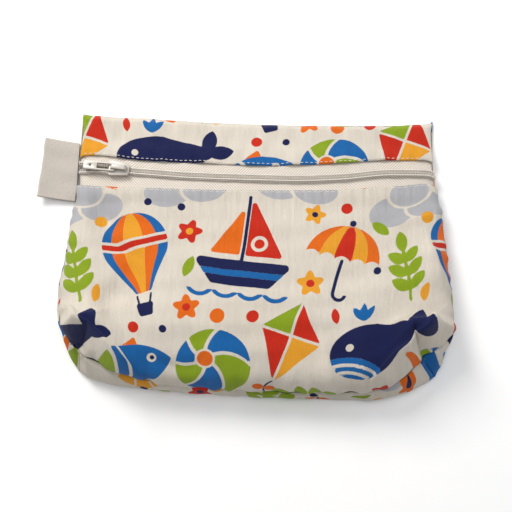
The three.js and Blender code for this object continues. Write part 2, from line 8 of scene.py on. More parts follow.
import bpy
import numpy as np
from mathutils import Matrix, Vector


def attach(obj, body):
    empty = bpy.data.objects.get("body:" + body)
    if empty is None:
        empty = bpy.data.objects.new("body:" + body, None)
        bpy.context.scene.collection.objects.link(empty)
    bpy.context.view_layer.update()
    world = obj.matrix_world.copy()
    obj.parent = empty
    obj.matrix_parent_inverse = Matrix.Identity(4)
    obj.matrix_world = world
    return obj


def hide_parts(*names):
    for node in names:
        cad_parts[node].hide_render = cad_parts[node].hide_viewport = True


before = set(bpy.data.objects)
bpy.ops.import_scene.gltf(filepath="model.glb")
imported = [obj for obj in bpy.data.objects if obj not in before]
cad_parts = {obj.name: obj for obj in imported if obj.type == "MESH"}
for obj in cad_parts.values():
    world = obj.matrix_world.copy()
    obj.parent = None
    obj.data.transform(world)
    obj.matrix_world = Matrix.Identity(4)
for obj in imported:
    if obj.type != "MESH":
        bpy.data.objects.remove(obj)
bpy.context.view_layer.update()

# %% [markdown]
# ## The sizes that drive everything
# A bag is cut from a few measures, and so is this one. They are in millimetres, as a sewer would write them,
# and become metres only when a mesh is made. Short tables with named columns hold how the seams, the bottom
# and the zip run, as shares of those measures, because a share stays true when a measure changes.

# %% Named sizes and the tables of the bag's lines
MM = 0.001
HALF_WIDTH = 106.0
HEIGHT = 152.0
DEPTH = 26.0
CLOTH = 1.2
SEAM_GAP = 0.3
HEM_ROUND = 4.0
TOP_Y = HEIGHT / 2

ZIP_SHOW = 8.0
TAPE_TUCK = 4.0
TAPE_THICK = 1.0
TAPE_PARTING = 0.8
COIL_PARTING = 0.3
ZIP_MOUTH = 3.6
RUNNING_GAP = 0.3

SLIDER_AT = -73.5
SLIDER_LONG = 11.0
POST_WIDE = 1.5
POST_LONG = 2.6
POST_SET = 0.8

LABEL_DOWN = 0.19
LABEL_HIGH = 32.4
LABEL_REACH = 19.5
LABEL_SLIT = 0.4
LABEL_CURL = 3.0
LABEL_RISE = 2.7
LABEL_LEAN = 0.9
LABEL_LIFT = 0.2
LABEL_THICK = 1.0


def table(names, *rows):
    """A dictionary with one column for each name, from rows that hold one value for each."""
    return dict(zip(names.split(), np.array(rows, float).T))


SIDES = table(
    "down seamL seamR baseL baseR eaveL eaveR lift puff crown turn",
    (0.0, 0.901, 0.919, 0.886, 0.904, 0.07, 0.07, 0.0, 0.0, 0.0, 0.0),
    (0.06, 0.906, 0.915, 0.89, 0.9, 0.08, 0.08, 0.0, 0.05, 0.03, 0.05),
    (0.15, 0.912, 0.916, 0.896, 0.901, 0.09, 0.09, 0.015, 0.11, 0.07, 0.2),
    (0.25, 0.919, 0.926, 0.906, 0.913, 0.1, 0.1, 0.04, 0.2, 0.1, 0.5),
    (0.37, 0.936, 0.946, 0.929, 0.937, 0.115, 0.12, 0.15, 0.35, 0.12, 0.85),
    (0.48, 0.951, 0.957, 0.951, 0.957, 0.13, 0.14, 0.25, 0.53, 0.11, 1.0),
    (0.58, 0.969, 0.963, 0.979, 0.968, 0.15, 0.165, 0.34, 0.71, 0.07, 1.0),
    (0.68, 0.979, 0.975, 0.996, 0.98, 0.18, 0.2, 0.42, 0.9, 0.0, 1.0),
    (0.75, 0.963, 0.976, 0.974, 0.975, 0.19, 0.235, 0.47, 1.0, -0.05, 1.0),
    (0.8, 0.913, 0.94, 0.945, 0.95, 0.15, 0.2, 0.5, 1.0, -0.09, 1.0),
    (0.86, 0.85, 0.82, 0.915, 0.925, 0.08, 0.08, 0.52, 1.0, -0.13, 1.0),
    (0.93, 0.83, 0.8, 0.87, 0.895, 0.06, 0.06, 0.52, 1.0, -0.16, 1.0),
)
CORNERS = {"L": {"peak": 0.722, "middle": 0.838, "table": 0.902},
           "R": {"peak": 0.75, "middle": 0.858, "table": 0.918}}
ZIP = table(
    "across middle above below",
    (-1, 0.176, 0.62, 1.2),
    (-0.8, 0.181, 0.92, 1.28),
    (-0.57, 0.197, 0.83, 1.13),
    (-0.3, 0.2135, 0.94, 0.975),
    (0, 0.2215, 0.89, 0.9),
    (0.2, 0.2245, 1.0, 0.833),
    (0.4, 0.219, 1.015, 0.89),
    (0.67, 0.2005, 0.916, 0.964),
    (0.84, 0.2, 0.913, 0.751),
    (1, 0.216, 0.935, 0.743),
)
TOP = table("across raise", (-1, 0.031), (-0.72, 0.0185), (-0.52, 0.0115), (-0.3, 0.0005), (0, -0.009),
            (0.35, -0.0145), (0.6, -0.0145), (1, -0.001))
FOLDS = table(
    "at down turn long wide high steep",
    (-0.79, 0.735, -42, 0.24, 0.07, 0.08, 0.7),
    (0.745, 0.762, -133, 0.22, 0.07, 0.08, 0.7),
    (0.755, 0.756, -3, 0.2, 0.05, 0.06, 0.7),
    (-0.785, 0.72, 158, 0.16, 0.06, 0.05, 1),
    (-0.7, 0.69, -30, 0.3, 0.1, -0.1, 1),
    (0.68, 0.71, -150, 0.28, 0.1, -0.1, 1),
    (-0.86, 0.36, -84, 0.42, 0.06, 0.07, 1),
    (-0.76, 0.36, -80, 0.4, 0.06, -0.07, 1),
    (-0.72, 0.66, 52, 0.34, 0.06, -0.08, 1),
    (-0.78, 0.36, -20, 0.3, 0.07, -0.08, 1),
    (0.9, 0.42, -160, 0.35, 0.09, -0.07, 1),
    (0.84, 0.46, -88, 0.32, 0.06, 0.06, 1),
    (-0.15, 0.84, 4, 0.5, 0.1, 0.05, 1),
    (-0.52, 0.03, -62, 0.14, 0.04, 0.04, 1),
)
CREASES = table(
    "at down turn long wide high steep",
    (-0.815, 0.752, -43.5, 0.42, 0.08, 0.29, 0.2),
    (-0.785, 0.725, -162, 0.22, 0.045, 0.16, 0.6),
    (0.781, 0.781, -135.5, 0.4, 0.08, 0.29, 0.2),
    (0.75, 0.751, -3.5, 0.3, 0.045, 0.16, 0.5),
    (-0.64, 0.64, 52, 0.2, 0.07, -0.07, 0.6),
    (-0.3, 0.885, 40, 0.12, 0.04, -0.05, 1),
    (-0.5, 0.86, -20, 0.26, 0.05, -0.07, 1),
    (0.5, 0.89, 100, 0.22, 0.055, 0.1, 0.7),
    (0.34, 0.91, 96, 0.2, 0.05, 0.08, 0.7),
    (0.18, 0.92, 88, 0.16, 0.05, 0.06, 0.7),
    (0.9, 0.36, -165, 0.34, 0.05, 0.08, 0.6),
    (0.87, 0.49, -80, 0.2, 0.04, 0.08, 0.7),
    (-0.9, 0.4, -88, 0.3, 0.05, 0.08, 0.7),
    (-0.66, 0.47, -30, 0.2, 0.06, -0.09, 0.5),
)
print("rows of the sides", len(SIDES["down"]), "folds", len(FOLDS["at"]))

# %% [markdown]
# ## Curves through a table
# A seam is drawn freehand through a few marks, and never bulges between them. A cubic between each two rows
# does that if its slope at a row is the harmonic mean of the slopes beside it, and flat where they disagree.
# Numpy works it out for a whole grid of places at once.

# %% Reading a table, and the bag's own lines


def column(rows, key, name, at):
    """The named column at any places: a cubic between rows, whose slope at a row is the harmonic mean of both
    sides' slopes."""
    x, y = rows[key], rows[name]
    secant = np.diff(y) / np.diff(x)
    before = np.concatenate([secant[:1], secant])
    after = np.concatenate([secant, secant[-1:]])
    agree = before * after > 0
    slope = np.where(agree, 2 * before * after / np.where(agree, before + after, 1), 0)
    place = np.clip(at, x[0], x[-1])
    i = np.clip(np.searchsorted(x, place) - 1, 0, len(x) - 2)
    span = x[i + 1] - x[i]
    t = (place - x[i]) / span
    level = (1 + 2 * t) * (1 - t) ** 2 * y[i] + t * t * (3 - 2 * t) * y[i + 1]
    return level + t * (1 - t) * span * ((1 - t) * slope[i] - t * slope[i + 1])


def lerp(start, end, share):
    """A share of the way from start to end."""
    return start + (end - start) * share


def unit(v):
    """The vectors, each drawn to a length of 1."""
    return v / np.linalg.norm(v, axis=-1, keepdims=True)


def reach_along(line):
    """How far each point of a line is along it: a running sum of the steps."""
    return np.concatenate([[0], np.cumsum(np.linalg.norm(np.diff(line, axis=0), axis=1))])


def cos_sin(degrees):
    return np.cos(np.radians(degrees)), np.sin(np.radians(degrees))


def smooth(x, low, high):
    """0 below low, 1 above high, and the curve 3t² - 2t³ between them."""
    t = np.clip((x - low) / (high - low), 0, 1)
    return t * t * (3 - 2 * t)


def points(x, y, z):
    """Three arrays as one array of points, spread to the same shape."""
    return np.stack(np.broadcast_arrays(x, y, z), -1)


def y_at(down):
    return TOP_Y - down * HEIGHT


def side_line(name, y):
    """A column of SIDES at the heights y."""
    return column(SIDES, "down", name, (TOP_Y - y) / HEIGHT)


def side_pair(name, y, right):
    """A column that differs from side to side, at the heights y. right says which side a point is on."""
    return np.where(right, side_line(name + "R", y), side_line(name + "L", y))


def corner(name, right):
    return np.where(right, CORNERS["R"][name], CORNERS["L"][name])


def side_x(right):
    return np.where(right, HALF_WIDTH, -HALF_WIDTH)


def zip_middle(a):
    return y_at(column(ZIP, "across", "middle", a))


def zip_above(a):
    return zip_middle(a) + ZIP_SHOW * column(ZIP, "across", "above", a)


def zip_below(a):
    return zip_middle(a) - ZIP_SHOW * column(ZIP, "across", "below", a)


def top_edge(a):
    return TOP_Y + HEIGHT * column(TOP, "across", "raise", a)


def seam_open(right, y):
    """The gap of a side seam: plain, and wide enough for the tape where the zip runs into it."""
    a = np.where(right, 1.0, -1.0)
    spread = 2 * TAPE_TUCK
    above = smooth(y, zip_above(a) + TAPE_TUCK, zip_above(a) + TAPE_TUCK + spread)
    below = smooth(y, zip_below(a) - TAPE_TUCK - spread, zip_below(a) - TAPE_TUCK)
    return SEAM_GAP + (TAPE_THICK + SEAM_GAP) * below * (1 - above)


def seam_side(right, y):
    z = CLOTH + seam_open(right, y) / 2 + DEPTH * side_line("lift", y)
    return points(side_x(right) * side_pair("seam", y, right), y, z)


def base_side(right, y):
    return points(side_x(right) * side_pair("base", y, right), y, 0)


def eave_side(right, y):
    """Where the front's flat top starts to roll down to its side seam."""
    reach = side_pair("seam", y, right) - side_pair("eave", y, right)
    return points(side_x(right) * reach, y, 2 * CLOTH + seam_open(right, y) + DEPTH * side_line("puff", y))


def raised(at, rise):
    """The points moved up by rise."""
    return at + points(0, 0, rise)


def crest(share, y):
    """The front's top: straight from eave to eave, and crowned between them by a parabola."""
    share = np.asarray(share, float)
    level = lerp(eave_side(False, y), eave_side(True, y), (share[..., None] + 1) / 2)
    return raised(level, DEPTH * side_line("crown", y) * (1 - share**2))


def corner_row(side, right):
    """The bottom's row at a corner, so that its lines run into the corner's own."""
    c = CORNERS[side]
    lift = column(SIDES, "down", "lift", c["middle"])
    return (1 if right else -1, c["peak"], c["middle"], c["table"], lift)


BOTTOM = table(
    "across eave seam base rise",
    corner_row("L", False),
    (-0.88, 0.765, 0.876, 0.932, 0.51),
    (-0.7, 0.82, 0.92, 0.954, 0.49),
    (-0.45, 0.852, 0.95, 0.972, 0.43),
    (-0.1, 0.862, 0.965, 0.984, 0.36),
    (0.3, 0.866, 0.976, 0.994, 0.32),
    (0.6, 0.862, 0.975, 0.996, 0.34),
    (0.8, 0.835, 0.953, 0.975, 0.42),
    (0.92, 0.795, 0.905, 0.945, 0.49),
    corner_row("R", True),
)


def bottom_line(name, share):
    return column(BOTTOM, "across", name, share)


def seam_bottom(share):
    ends = [seam_side(right, y_at(corner("middle", right)))[0] for right in (False, True)]
    rise = CLOTH + SEAM_GAP / 2 + DEPTH * bottom_line("rise", share)
    return points(lerp(*ends, (share + 1) / 2), y_at(bottom_line("seam", share)), rise)


def base_bottom(share):
    ends = [base_side(right, y_at(corner("table", right)))[0] for right in (False, True)]
    return points(lerp(*ends, (share + 1) / 2), y_at(bottom_line("base", share)), 0)


def eave_bottom(share):
    return crest(share, y_at(bottom_line("eave", share)))


print("zip's middle at the centre", zip_middle(0.0), "bottom seam", seam_bottom(np.array(0.0)))

# %% [markdown]
# ## Creases and dents
# Soft cloth over little filling keeps a few long creases. Sculpting them by hand can't be repeated, so each
# is a ridge: a bell curve across its line that fades out along it. A negative height makes a dent. The
# sharpest ridges also lean over to their steep side, as cloth does before it folds.

# %% Folds of the cloth
FOLD_TIP = 0.3
FOLD_BODY = 0.75
FOLD_LEAN = 1.15
CREST_ROUND = 0.3


def bell(t):
    """A soft fold across its line: exp(-t²)."""
    return np.exp(-(t**2))


def crest_line(t):
    """A pressed crease across its line, round only at its very top: exp(r - sqrt(t² + r²))."""
    return np.exp(CREST_ROUND - np.hypot(t, CREST_ROUND))


def each_fold(folds, profile, x, y):
    """Each fold's height, its steep side's width as a share of the other side's, and the level way to that
    side. The height is a profile of off / wide, fading as exp(-(along / body)⁴) along it."""
    for at, down, turn, long, wide, high, steep in zip(*folds.values()):
        c, s = cos_sin(turn)
        dx, dy = x - at * HALF_WIDTH, y - y_at(down)
        along = (dx * c + dy * s) / (long * HALF_WIDTH)
        off = dy * c - dx * s
        narrow = np.where(off * c > 0, steep, 1)
        fade = np.exp(-np.where(along < 0, (along / FOLD_TIP) ** 2, (along / FOLD_BODY) ** 4))
        height = high * DEPTH * fade * profile(off / (wide * HALF_WIDTH * narrow))
        yield height, steep, np.sign(c) * np.array([-s, c, 0])


def fold_height(folds, profile, x, y):
    return sum(height for height, _, _ in each_fold(folds, profile, x, y))


def fold_lean(folds, profile, x, y):
    """How far the cloth of the folds moves towards their steep sides: the steeper a fold, the more of its
    height."""
    each = each_fold(folds, profile, x, y)
    return sum(FOLD_LEAN * (1 - steep) * height[..., None] * way for height, steep, way in each)


def folded(at, share):
    """The points raised by every fold, which die away towards the seams."""
    return raised(at, fold_height(FOLDS, bell, at[..., 0], at[..., 1]) * (1 - share**2))


# %% [markdown]
# ## The panels as surfaces of two parameters
# Each panel is a grid: a runs from seam to seam and b from one end to the other. Inside it the front is
# nearly flat, and the outer fifth rolls down to the seam as a curve with one control point. The back lies on
# the table, turns up round a small hem and climbs to the same seam. The boxed corners come by themselves,
# because the side's and the bottom's curves meet on the grid's diagonal.

# %% Front, band and back
RIM = 0.2
FLAT = 1 - RIM
SIDE_ROUND = 0.85
BOTTOM_ROUND = 0.8
CORNER_ROUND = 0.12
CORNER_HASTE = 6


def outward(start, end):
    """The level direction from start to end, of length 1."""
    return unit((end - start) * (1, 1, 0))


def seam_edge(seam, turn, gap, side):
    """A cloth's edge at a seam: half the gap and one thickness off it, less as the cloth turns edge on."""
    level = side * np.cos(turn * np.pi / 2)
    return raised(seam, side * gap / 2 + CLOTH * level)


def front_roll(eave, seam, turn, gap, share, bend):
    """A quadratic curve from eave to seam, whose middle point lies between the chord's middle and the square
    corner that bend 1 would reach."""
    edge = seam_edge(seam, turn, gap, 1)
    square = points(edge[..., 0], edge[..., 1], eave[..., 2])
    middle = lerp((eave + edge) / 2, square, bend[..., None])
    t = share[..., None]
    return folded((1 - t) ** 2 * eave + 2 * t * (1 - t) * middle + t * t * edge, share)


def back_wall(base, seam, out, turn, gap, share):
    """A cubic curve from the flat face, round the hem and up to the seam."""
    edge = seam_edge(seam, turn, gap, -1)
    overhang = ((base - seam) * out)[..., :2].sum(-1)
    low = base + out * ((HEM_ROUND + overhang) / 6)[..., None]
    foot = base - out * HEM_ROUND
    high = raised(low, edge[..., 2] / 2)
    t = share[..., None]
    return (1 - t) ** 3 * foot + 3 * t * (1 - t) ** 2 * low + 3 * t * t * (1 - t) * high + t**3 * edge


def front_row(a, y):
    """The front at the heights y, where a runs from seam to seam."""
    share = np.maximum((abs(a) - FLAT) / RIM, 0)
    right = a >= 0
    roll = front_roll(eave_side(right, y), seam_side(right, y), side_line("turn", y), seam_open(right, y),
                      share, np.full(a.shape, SIDE_ROUND))
    inside = np.clip(a / FLAT, -1, 1)
    return np.where((share > 0)[..., None], roll, folded(crest(inside, y), 0 * a))


def zones(a, b):
    """How far each point is into the rim, whether it is at a side there, and where it stands along the side
    or across the bottom."""
    at_side = (abs(a) - FLAT) / RIM
    at_bottom = (b - FLAT) / RIM
    share = np.maximum(np.maximum(at_side, at_bottom), 0)
    grown = FLAT + RIM * share
    return share, at_side >= at_bottom, b / grown, a / grown


def side_heights(start, right, t):
    """The heights at which a grid line leaves the eave and meets the seam, at t from start to the corner."""
    eave_y = lerp(start, y_at(corner("peak", right)), t)
    return eave_y, lerp(eave_y, lerp(start, y_at(corner("middle", right)), t), t)


def front_point(a, b):
    """The front panel, where b runs from the zip to the bottom seam."""
    share, at_side, t, across = zones(a, b)
    right = a >= 0
    start = zip_below(a)
    inside = np.clip(a / FLAT, -1, 1)
    flat_y = lerp(start, y_at(bottom_line("eave", inside)), np.minimum(b / FLAT, 1))
    top = folded(crest(inside, flat_y), 0 * a)
    eave_y, seam_y = side_heights(start, right, t)
    side = front_roll(eave_side(right, eave_y), seam_side(right, seam_y), side_line("turn", seam_y),
                      seam_open(right, seam_y), share, lerp(SIDE_ROUND, CORNER_ROUND, t**CORNER_HASTE))
    bottom = front_roll(eave_bottom(across), seam_bottom(across), 1, SEAM_GAP, share,
                        lerp(BOTTOM_ROUND, CORNER_ROUND, abs(across) ** CORNER_HASTE))
    rolled = np.where(at_side[..., None], side, bottom)
    return np.where((share > 0)[..., None], rolled, top)


def band_point(a, b):
    """The band above the zip, where b runs from the zip to the top edge."""
    return front_row(a, lerp(zip_above(a), top_edge(a), b))


def back_point(a, b):
    """The back panel, where b runs from the top edge to the bottom seam."""
    share, at_side, t, across = zones(a, b)
    start = top_edge(a)

    def wall_side(right, t, share):
        eave_y, seam_y = side_heights(start, right, t)
        seam = seam_side(right, seam_y)
        out = outward(eave_side(right, eave_y), seam)
        base = base_side(right, lerp(start, y_at(corner("table", right)), t))
        return back_wall(base, seam, out, side_line("turn", seam_y), seam_open(right, seam_y), share)

    def wall_bottom(across, share):
        seam = seam_bottom(across)
        return back_wall(base_bottom(across), seam, outward(eave_bottom(across), seam), 1, SEAM_GAP, share)

    inside, down = np.clip(a / FLAT, -1, 1), np.minimum(b / FLAT, 1)
    none = 0 * a
    ends = [wall_side(right, down, none)[..., 0] for right in (False, True)]
    x = lerp(*ends, (inside + 1) / 2)
    y = lerp(start, wall_bottom(inside, none)[..., 1], down)
    rolled = np.where(at_side[..., None], wall_side(a >= 0, t, share), wall_bottom(across, share))
    return np.where((share > 0)[..., None], rolled, points(x, y, 0))


# %% [markdown]
# ## From a surface to cloth
# The grid's lines also measure the cloth: a running sum of the steps along them gives how far a point is
# from each edge, and so its place on the flat cut piece. The print, the puckers and the seams all use it.
# The cloth's own relief is added along the normals: slow ripples, puckers that fade away from a seam, and the
# dip in which the two cloths of a seam meet. A closed wall then follows: the same grid again, a little
# behind the first, with a strip round the edge.

# %% Grids, lengths and normals


def even(start, end, count):
    return np.linspace(start, end, count + 1)


def crowded(count):
    """Shares from 0 to 1 that lie closer together towards 1: 1 - (1 - t)^1.5."""
    return 1 - (1 - even(0, 1, count)) ** 1.5


def joined(*runs):
    """Runs of values end to end, without the value that two of them share."""
    return np.concatenate([runs[0][:1]] + [run[1:] for run in runs])


def normals(grid, facing):
    """The unit normal at each point: the cross product of central differences along the grid's two ways."""
    n = facing * np.cross(np.gradient(grid, axis=1), np.gradient(grid, axis=0))
    return n / np.maximum(np.linalg.norm(n, axis=-1, keepdims=True), 1e-9)


def lengths(grid, axis):
    """How far each point is along its line of the grid: a running sum of the steps."""
    step = np.linalg.norm(np.diff(grid, axis=axis), axis=-1)
    start = np.zeros_like(np.take(step, [0], axis=axis))
    return np.concatenate([start, np.cumsum(step, axis=axis)], axis=axis)


def ripples(x, y, seed, longest, shortest, count):
    """Slow waves: a sum of sines whose ways are drawn at random and whose lengths run between two sizes."""
    draw = np.random.default_rng(seed)
    total = np.zeros(np.shape(x))
    for length in np.geomspace(longest, shortest, count):
        way, phase = draw.uniform(0, 2 * np.pi, 2)
        total += np.sin(2 * np.pi * (x * np.cos(way) + y * np.sin(way)) / length + phase)
    return total / np.sqrt(count)


def pucker(along, away, pitch, reach, seed):
    """Gathers of a seam: sines along it whose phase wanders, and which fade as exp(-away / reach)."""
    wander = 1.6 * ripples(along, 0 * along, seed, longest=60, shortest=17, count=4)
    return np.sin(2 * np.pi * along / pitch + wander) * np.exp(-away / reach)


def dip(away, wide):
    """A bell of height 1 at a seam: exp(-(away / wide)²)."""
    return np.exp(-((away / wide) ** 2))


class Sheet:
    """A cloth on a grid, with its place on the flat cut and its distances from its four edges, in
    millimetres."""

    def __init__(self, surface, across, along, facing):
        a, b = np.meshgrid(across, along)
        self.rows, self.columns = a.shape
        self.facing = facing
        self.base = surface(a, b)
        self.normal = normals(self.base, facing)
        left, start = lengths(self.base, 1), lengths(self.base, 0)
        self.left, self.right = left, left[:, -1:] - left
        self.start, self.end = start, start[-1:] - start
        self.side = np.minimum(self.left, self.right)
        self.u = left - left[:, left.shape[1] // 2][:, None]
        self.v = start

    def relieve(self, relief, thick, lean=0):
        """Moves the face out by relief along the normals and sideways by lean, and gives it a wall."""
        self.face = self.base + self.normal * relief[..., None] + lean
        self.out = normals(self.face, self.facing)
        self.back = self.face - self.out * thick[..., None]


def show(name, data):
    """A new object at the origin that holds the data and is in the scene."""
    thing = bpy.data.objects.new(name, data)
    bpy.context.scene.collection.objects.link(thing)
    return thing


def make(name, verts, faces, slot):
    """A mesh piece of the bag from points in millimetres and faces."""
    mesh = bpy.data.meshes.new(name)
    mesh.from_pydata(np.reshape(verts, (-1, 3)) * MM, [], faces)
    mesh.update()
    mesh.shade_smooth()
    piece = show(name, mesh)
    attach(piece, "bag")
    print(name, "faces", len(mesh.polygons))
    return piece


def grid_faces(rows, columns, start=0):
    """The quads of a grid of points, each turning from the first way to the second."""
    p = start + (np.arange(rows - 1)[:, None] * columns + np.arange(columns - 1)).ravel()
    return np.stack([p, p + 1, p + 1 + columns, p + columns], -1)


def wall_faces(rows, columns):
    """The quads of a closed wall: its face, its back turned round, and the strip that joins their edges."""
    layer = rows * columns
    index = np.arange(layer).reshape(rows, columns)
    edge = np.concatenate([index[0, :-1], index[:-1, -1], index[-1, :0:-1], index[:0:-1, 0]])
    after = np.roll(edge, -1)
    strip = np.stack([after, edge, edge + layer, after + layer], -1)
    return np.concatenate([grid_faces(rows, columns), grid_faces(rows, columns, layer)[:, ::-1], strip])


def lay_flat(piece, u, v):
    """Gives each point its place on the flat cloth as the UV map named flat, in metres."""
    mesh = piece.data
    corners = np.empty(len(mesh.loops), np.int32)
    mesh.loops.foreach_get("vertex_index", corners)
    places = np.stack([np.ravel(u), np.ravel(v)], -1)[corners] * MM
    mesh.uv_layers.new(name="flat").data.foreach_set("uv", places.ravel().astype(np.float32))


def sew(name, sheet, slot, replaced):
    """The closed wall of a sheet as a piece that stands for a node."""
    faces = wall_faces(sheet.rows, sheet.columns)
    faces = faces if sheet.facing > 0 else faces[:, ::-1]
    piece = make(name, np.stack([sheet.face, sheet.back]), faces, slot)
    lay_flat(piece, np.stack([sheet.u] * 2), np.stack([sheet.v] * 2))
    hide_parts(replaced)
    return piece


# %% The three printed panels
RIM_ROWS = 34
rim_right = FLAT + RIM * crowded(RIM_ROWS)
ACROSS = joined(-rim_right[::-1], even(-FLAT, FLAT, 196), rim_right)
WALL = 0.7
HEMMED = 1.1
SEAM_PINCH = 0.85
FOLDED_IN = 0.45
DIVE_LYING, DIVE_STANDING, DIVE_WIDE = 1.3, 0.7, 1.3
BOTTOM_DIVE = 0.8
GROOVE_WIDE = 0.9
PULL_DEEP, PULL_WIDE = 2.2, 3.8

front = Sheet(front_point, ACROSS, joined(even(0, FLAT, 112), rim_right), -1)
band = Sheet(band_point, ACROSS, even(0, 1, 44), 1)
back = Sheet(back_point, ACROSS, joined(even(0, FLAT, 120), rim_right), 1)


def seam_dip(sheet, y):
    """How deep a cloth dives into its side seam: deeper where it lies flat than where it stands."""
    return lerp(DIVE_LYING, DIVE_STANDING, side_line("turn", y)) * dip(sheet.side, DIVE_WIDE)


def wall(seam):
    """The cloth's own thickness, pinched at a distance seam of 0."""
    return WALL * (1 - SEAM_PINCH * dip(seam, 1.5))


def hemmed_wall(sheet):
    """The wall of a cloth that is folded in along its first edge, where it is double and round."""
    seam = np.minimum(sheet.side, sheet.end)
    return wall(seam) + (HEMMED - WALL) * dip(sheet.start, 7) - 0.5 * dip(sheet.start, 0.6)


def off_line(at, line):
    """How far each point is from a line through space: from the nearest point of its nearest stretch."""
    nearest = np.full(at.shape[:-1], 99.0)
    for start, end in zip(line[:-1], line[1:]):
        t = np.clip(((at - start) @ (end - start)) / ((end - start) @ (end - start)), 0, 1)
        nearest = np.minimum(nearest, np.linalg.norm(at - start - t[..., None] * (end - start), axis=-1))
    return nearest


def corner_dip(sheet, surface):
    """The sewn lines across the boxed corners, on the diagonals of the grid: a narrow groove in a wide
    pull."""
    share = even(0.03, 1, 14)
    total = 0
    for side in (-1, 1):
        away = off_line(sheet.base, surface(side * (FLAT + RIM * share), FLAT + RIM * share))
        total = total + dip(away, GROOVE_WIDE) + PULL_DEEP * dip(away, PULL_WIDE)
    return total * np.clip(np.minimum(sheet.side, sheet.end) / 4, 0.2, 1)


def shape_front():
    x, y = front.base[..., 0], front.base[..., 1]
    u, v, start = front.u, front.v, front.start
    slow = ripples(u, v, seed=3, longest=46, shortest=13, count=8)
    relief = 0.5 * slow * np.clip(start / 12, 0.2, 1)
    free = np.clip(np.minimum(front.side, front.end) / 6, 0, 1)
    relief += fold_height(CREASES, crest_line, x, y) * free
    relief += 0.5 * pucker(v, front.side, pitch=9.5, reach=8, seed=11)
    relief += 0.75 * pucker(u, front.end, pitch=13, reach=11, seed=12)
    relief += 0.26 * pucker(u, start, pitch=6.6, reach=8, seed=13)
    relief += 0.1 * pucker(u, start, pitch=3.7, reach=30, seed=16)
    relief -= corner_dip(front, front_point) + seam_dip(front, y)
    relief -= BOTTOM_DIVE * dip(front.end, DIVE_WIDE) + FOLDED_IN * dip(start, 0.6)
    lean = fold_lean(CREASES, crest_line, x, y) * free[..., None]
    front.relieve(relief, hemmed_wall(front), lean)


def shape_band():
    slow = ripples(band.u, band.v, seed=5, longest=36, shortest=11, count=7)
    relief = 0.34 * slow * np.clip(band.side / 9, 0, 1)
    relief += 0.28 * pucker(band.u, band.start, pitch=7.5, reach=7, seed=14)
    relief += 0.2 * pucker(band.u, band.end, pitch=12, reach=6, seed=15)
    top_dive = 1.9 * dip(band.end, 1.6)
    relief -= np.maximum(seam_dip(band, band.base[..., 1]), top_dive) + FOLDED_IN * dip(band.start, 0.6)
    band.relieve(relief, hemmed_wall(band))


def shape_back():
    stands = smooth(back.base[..., 2], 0.5, 5)
    relief = 0.3 * ripples(back.u, back.v, seed=7, longest=34, shortest=13, count=6)
    relief += 0.4 * pucker(back.v, back.side, pitch=9.5, reach=8, seed=11)
    relief += 0.5 * pucker(back.u, back.end, pitch=13, reach=8, seed=12)
    relief = (relief - corner_dip(back, back_point)) * stands
    top_dive = 0.35 * dip(back.start, 1.2)
    relief -= np.maximum(seam_dip(back, back.base[..., 1]), top_dive) + BOTTOM_DIVE * dip(back.end, DIVE_WIDE)
    back.relieve(relief, wall(np.minimum.reduce([back.side, back.start, back.end])))


shape_front()
shape_band()
shape_back()
front_cloth = sew("front_cloth", front, "printed_cloth", "front_panel")
band_cloth = sew("band_cloth", band, "printed_cloth", "top_band")
back_cloth = sew("back_cloth", back, "printed_cloth", "back_panel")

# %% [markdown]
# ## A print made of screens
# Cloth like this is printed one ink after another, each through its own screen. So the print here is one
# number per ink and point: the distance to that ink's edge on the flat cloth, negative where it lies. A
# picture file would blur when seen close, and a distance stays sharp. The design is a plain seaside
# repeat of boats, balls, kites, fishes, leaves and blossoms.

# %% Shapes as distances
FAR = 99.0
TRAP = 0.12
SCREEN_REACH = 3
REPEAT_WIDE = 176.0
REPEAT_HIGH = 142.0
INKS = ["grey", "blue", "navy", "green", "orange", "amber", "red"]


def disc(p, q, r, x=0.0, y=0.0):
    """The distance to a circle's edge."""
    return np.hypot(p - x, q - y) - r


def oval(p, q, wide, high, x=0.0, y=0.0):
    """Nearly the distance to an ellipse's edge: a scaled circle's."""
    return (np.hypot((p - x) / wide, (q - y) / high) - 1) * min(wide, high)


def bar(p, q, x1, y1, x2, y2, r):
    """The distance to a line with round ends: to the nearest point of it, less its half width."""
    dx, dy = x2 - x1, y2 - y1
    t = np.clip(((p - x1) * dx + (q - y1) * dy) / (dx * dx + dy * dy), 0, 1)
    return np.hypot(p - x1 - t * dx, q - y1 - t * dy) - r


def patch(p, q, corners, r=0.0):
    """The distance to a polygon with rounded corners: to its nearest side, and negative inside, where a ray
    crosses the sides an odd number of times."""
    nearest = np.full(np.shape(p), FAR)
    inside = np.zeros(np.shape(p), bool)
    for (x1, y1), (x2, y2) in zip(corners, corners[1:] + corners[:1]):
        nearest = np.minimum(nearest, bar(p, q, x1, y1, x2, y2, 0))
        crosses = (y1 > q) != (y2 > q)
        rise = y2 - y1 if y2 != y1 else 1e-9
        inside ^= crosses & (p < (x2 - x1) * (q - y1) / rise + x1)
    return np.where(inside, -nearest, nearest) - r


def leaf(p, q, long, wide):
    """A leaf from the origin along p: where two circles overlap."""
    half, deep = long / 2, wide / 2
    r = (half * half + deep * deep) / (2 * deep)
    return np.maximum(disc(p, q, r, half, deep - r), disc(p, q, r, half, r - deep))


def turned(p, q, degrees):
    """The coordinates of a shape that is turned by an angle."""
    c, s = cos_sin(degrees)
    return p * c + q * s, q * c - p * s


def both(*distances):
    """Where all the shapes are."""
    return np.maximum.reduce(distances)


def either(*distances):
    """Where any of the shapes is."""
    return np.minimum.reduce(distances)


